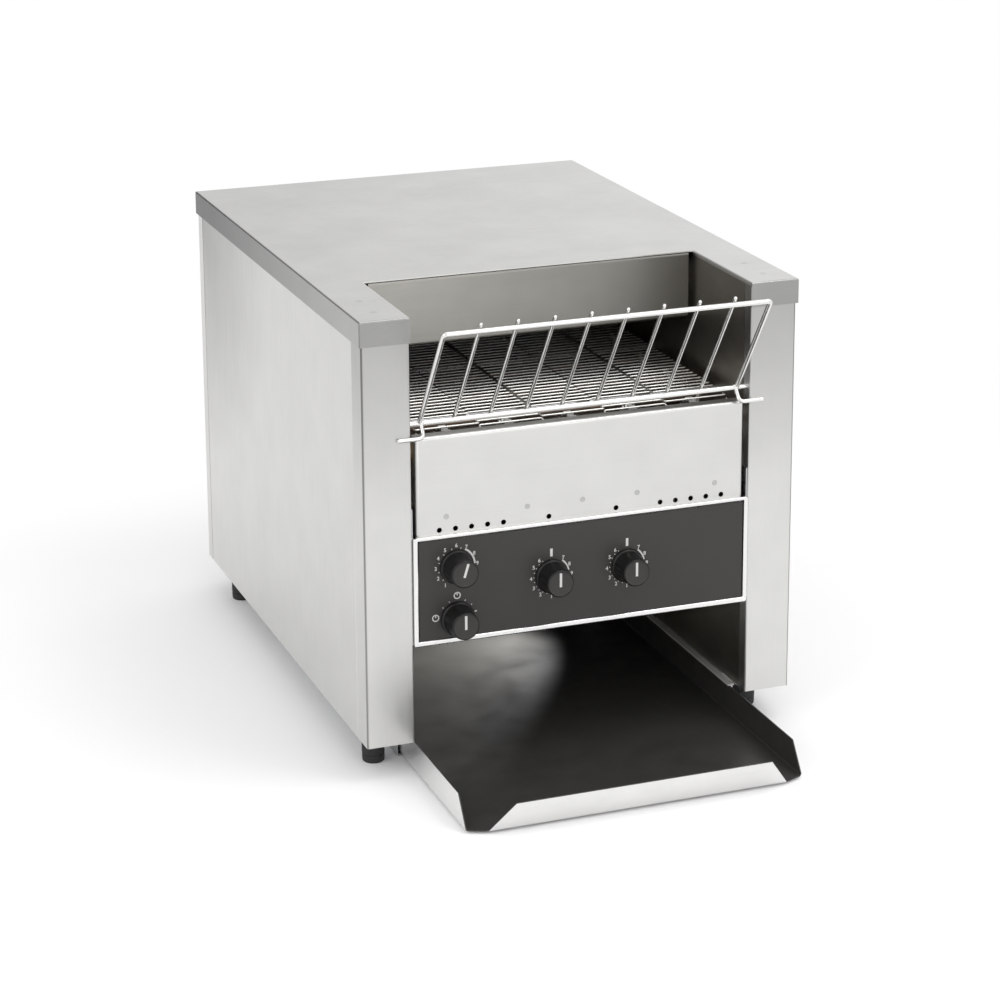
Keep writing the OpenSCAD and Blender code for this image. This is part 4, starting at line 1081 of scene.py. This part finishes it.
class TOASTER_OT_print(bpy.types.Operator):
    """White print of the dials: digits, arcs, ticks and plain symbols"""
    bl_idname = "toaster.print"
    bl_label = "Dial print"

    def execute(self, context):
        size = context.scene.toaster_controls
        face = box("control_plate")[0][1]
        ink = size.ink
        printed = Patches()

        def slab(outline, at):
            """A flat mark, its outline in mm from at."""
            add_slab(printed, np.array(outline) * MM, (at[0], face + ink / 2, at[1]), AHEAD, ink)

        def bars(at, radius, turns, long, wide):
            """Ticks on a ring, in mm."""
            for out in clockwise(turns):
                side = np.array([out[1], -out[0]]) * wide
                near, far = radius * out, (radius + long) * out
                slab([near - side, near + side, far + side, far - side], at)

        def arc(at, radius, start, end, wide, steps=40):
            """A band from one turn to another, in mm."""
            out = clockwise(np.linspace(start, end, steps))
            slab(np.concatenate([radius * out, (radius + wide) * out[::-1]])[::-1], at)

        def digits(at, turns):
            """The digits from 1 round a dial, each upright."""
            for text, out in zip("123456789", clockwise(turns)):
                flat, faces = text_points(text, size.digit)
                flat = flat + at + size.digit_ring * out
                printed.add(np.insert(flat, 1, face - ink / 2, axis=1), faces)

        speed, selector, *heats = (np.array(JOINTS[joint]["pos_m"])[[0, 2]]
                                   for *_, joint in DIALS.values())
        for at in heats:
            digits(at, [180, -147, -120, -92, -60, -36, 36, 62, 90])
            bars(at, size.digit_ring / MM - 1.2, [0], 6.6, 1.1)
            arc(at, 14.5, 38, 78, 1.3)
            bars(at, 14.5, np.arange(-165, -25, 15), 0.9, 0.3)
        digits(speed, [-147, -118, -90, -61, -33, 0, 29, 58, 88])
        arc(speed, 14.5, 28, 88, 1.5)
        bars(speed, 14.5, np.arange(-132, 20, 29.25), 1.2, 0.3)
        for place in ((0.0, 18.9 * MM), (-18.1 * MM, 2.2 * MM)):
            arc(selector + place, 2.1, 0, 360 - np.degrees(0.02), 0.9, 28)
            bars(selector + place, 0.2, [0], 2.4, 0.4)
        bars(selector, 14.8, [76], 2.0, 0.5)
        bars(selector, 15.0, [-50, -25, 25, 50], 1.2, 0.3)
        piece("dial_print", printed, ["print"])
        return {"FINISHED"}


# ---- tray ----


class TOASTER_OT_tray(bpy.types.Operator):
    """Toast tray: folded sheet, bright outside and coated black inside"""
    bl_idname = "toaster.tray"
    bl_label = "Toast tray"

    def execute(self, context):
        size = context.scene.toaster_tray
        low, high = box("toast_tray")
        fold_y = low[1] + size.lip * np.sin(size.lip_lean)
        wall, half = 25 * MM, high[0]
        outline = [(fold_y, -half + size.corner_x), (fold_y + size.corner_y, -half),
                   (high[1], -half), (high[1], half), (fold_y + size.corner_y, half),
                   (fold_y, half - size.corner_x)]
        trims = [(0, 0), (size.wall_back, 0), (0, 0), (0, size.wall_back), (0, 0),
                 (size.mitre, size.mitre)]
        folded("tray_sheet", "toast_tray", ["tray_steel", "coating"],
               (outline, [0, wall, 0, wall, 0, size.lip], plane_at(2, low[2]), BELOW, size.fold,
                (), [90] * 5 + [90 - np.degrees(size.lip_lean)], trims),
               slot="tray_coating", body="toast_tray_body", inside=1)

        # painted light: pale strips fill the gap between the tray's walls and the base plate,
        # standing in for light seen through it
        under = box("base_plate")[0][2] - 1.7 * MM
        start, end = FRONT + 20 * MM, box("slide")[0][1] - 4 * MM
        inner = box("right_column")[0][0] - 0.1 * MM
        strips = Patches()
        for side in (LEFT, RIGHT):
            near, far = sorted((side * inner, side * (inner - size.strip)))
            add_slab(strips, rectangle(near, start, far, end), (0, 0, under), ABOVE, 1.6 * MM)
        piece("tray_wear_strips", strips, ["nylon"])
        return {"FINISHED"}


class TOASTER_OT_carried(bpy.types.Operator):
    """Finishes for the CAD pieces that keep their own shape"""
    bl_idname = "toaster.carried"
    bl_label = "Inner pieces"

    def execute(self, context):
        for name, nodes in CARRIED.items():
            for cad in nodes.split():
                mesh = frame["nodes"][cad].data
                mesh.materials.clear()
                mesh.materials.append(finish(name))
        return {"FINISHED"}


# ---- stage ----


def white_to_sight(tree):
    """A socket that is 1 for camera, glossy and transmission rays and 0 for the light."""
    path = node(tree, "LightPath")
    total = path["Is Camera Ray"]
    for ray in ("Is Glossy Ray", "Is Transmission Ray"):
        total = node(tree, "Math", {0: total, 1: path[ray]}, operation="MAXIMUM")[0]
    return total


LAMPS = (   # name, place, aim, width of a square lamp or none for a spot, power in watts
    ("key", (1.6, -1.4, 2.2), (0, 0, 0.2), 1.6, 7),
    ("fill", (-2.0, -1.0, 1.4), (0, 0, 0.2), 1.4, 9),
    ("low", (0.5, -2.2, 0.45), (0, 0, 0.1), 1.0, 3),
    ("top", (0.6, -0.6, 2.1), (0, 0, 0.25), 0.8, 6),
    ("inner", (0.121, 0.109, 0.075), (-0.08, 0.0, 0.01), None, 3.2),
)


class TOASTER_OT_stage(bpy.types.Operator):
    """Camera, pale floor, white surround and soft lamps"""
    bl_idname = "toaster.stage"
    bl_label = "Stage"

    def execute(self, context):
        scene = context.scene
        size = scene.toaster_stage
        eye = bpy.data.objects.new("camera", put(
            bpy.data.cameras.new("camera"), lens=size.lens, sensor_width=36, shift_y=-0.2,
            clip_end=50))
        toward = Vector((-0.336402, -0.906182, 0.256257)).normalized()
        up = toward.cross(Vector((0.937025, -0.349228, -0.004866))).normalized()
        eye.matrix_world = Matrix.Translation(Vector(size.eye)) @ Matrix(
            (up.cross(toward), up, toward)).transposed().to_4x4()
        scene.collection.objects.link(eye)
        scene.camera = eye

        white = (1, 1, 1, 1)
        ground = Finish("floor", (0.96,) * 3, 0.8, 0, {"Specular IOR Level": 0.0})
        tree = ground.tree
        away = node(tree, "VectorMath", {0: ground.place}, operation="LENGTH")["Value"]
        far = node(tree, "MapRange", {"Value": away, "From Min": 0.35, "From Max": 1.1},
                   interpolation_type="SMOOTHSTEP")[0]
        share = ground.maths("MULTIPLY", far, white_to_sight(tree))
        glow = node(tree, "Emission", {"Color": white})[0]
        mixed = node(tree, "MixShader", {0: share, 1: ground.shader.outputs[0], 2: glow})[0]
        tree.links.new(mixed, tree.nodes["Material Output"].inputs[0])
        mesh = bpy.data.meshes.new("floor")
        w = size.floor
        mesh.from_pydata([(-w, -w, 0), (w, -w, 0), (w, w, 0), (-w, w, 0)], [], [(0, 1, 2, 3)])
        mesh.materials.append(ground.material)
        plane = bpy.data.objects.new("floor", mesh)
        scene.collection.objects.link(plane)

        world = bpy.data.worlds.new("surround")
        world.use_nodes = True
        tree = world.node_tree
        facing = node(tree, "TexCoord")["Generated"]
        away = node(tree, "VectorMath", {0: facing, 1: (-0.45, 0.88, 0.15)},
                    operation="DISTANCE")["Value"]
        card = node(tree, "MapRange", {"Value": away, "From Min": 0.3, "From Max": 0.95,
                                       "To Min": 0.3, "To Max": 1.0},
                    interpolation_type="SMOOTHSTEP")[0]
        sight = node(tree, "LightPath")["Is Camera Ray"]
        seen = node(tree, "Mix", {0: sight, 2: card, 3: 1.0}, data_type="FLOAT")[0]
        level = node(tree, "Mix", {0: white_to_sight(tree), 2: size.dome, 3: seen},
                     data_type="FLOAT")[0]
        shine = tree.nodes["Background"].inputs
        shine["Color"].default_value = white
        tree.links.new(level, shine["Strength"])
        scene.world = world

        for name, place, aim, wide, power in LAMPS:
            lamp = put(bpy.data.lights.new(name, "AREA" if wide else "SPOT"), energy=power)
            if wide:
                put(lamp, shape="SQUARE", size=wide)
            else:
                put(lamp, spot_size=np.radians(60), spot_blend=0.9, shadow_soft_size=0.01)
            holder = put(bpy.data.objects.new(name, lamp), location=place, rotation_euler=(
                Vector(aim) - Vector(place)).to_track_quat("-Z", "Y").to_euler())
            scene.collection.objects.link(holder)
        scene.view_settings.view_transform = "Standard"
        return {"FINISHED"}


OPERATORS = (
    TOASTER_OT_cover, TOASTER_OT_sides, TOASTER_OT_columns, TOASTER_OT_back, TOASTER_OT_fronts,
    TOASTER_OT_feet, TOASTER_OT_belt, TOASTER_OT_rack, TOASTER_OT_border, TOASTER_OT_knobs,
    TOASTER_OT_print, TOASTER_OT_tray, TOASTER_OT_carried, TOASTER_OT_stage,
)


class TOASTER_PT_pieces(bpy.types.Panel):
    """The toaster's sizes and the buttons that make its pieces"""
    bl_idname = "TOASTER_PT_pieces"
    bl_label = "Conveyor toaster"
    bl_space_type = "VIEW_3D"
    bl_region_type = "UI"
    bl_category = "Toaster"

    def draw(self, context):
        for name, group in GROUPS.items():
            column = self.layout.box().column()
            column.label(text=group.__doc__)
            for key in group.__annotations__:
                column.prop(getattr(context.scene, name), key)
        for operator in OPERATORS:
            self.layout.operator(operator.bl_idname)


def register():
    """Adds the operators, the panel and the sizes."""
    for group in (*GROUPS.values(), *OPERATORS, TOASTER_PT_pieces):
        bpy.utils.register_class(group)
    for name, group in GROUPS.items():
        setattr(bpy.types.Scene, name, PointerProperty(type=group))


def unregister():
    """Takes away what register adds."""
    for name in GROUPS:
        delattr(bpy.types.Scene, name)
    for group in (TOASTER_PT_pieces, *reversed(OPERATORS), *GROUPS.values()):
        bpy.utils.unregister_class(group)


def main():
    """Makes every piece in order."""
    register()
    for operator in OPERATORS:
        area, name = operator.bl_idname.split(".")
        getattr(getattr(bpy.ops, area), name)()


if __name__ == "__main__":
    main()
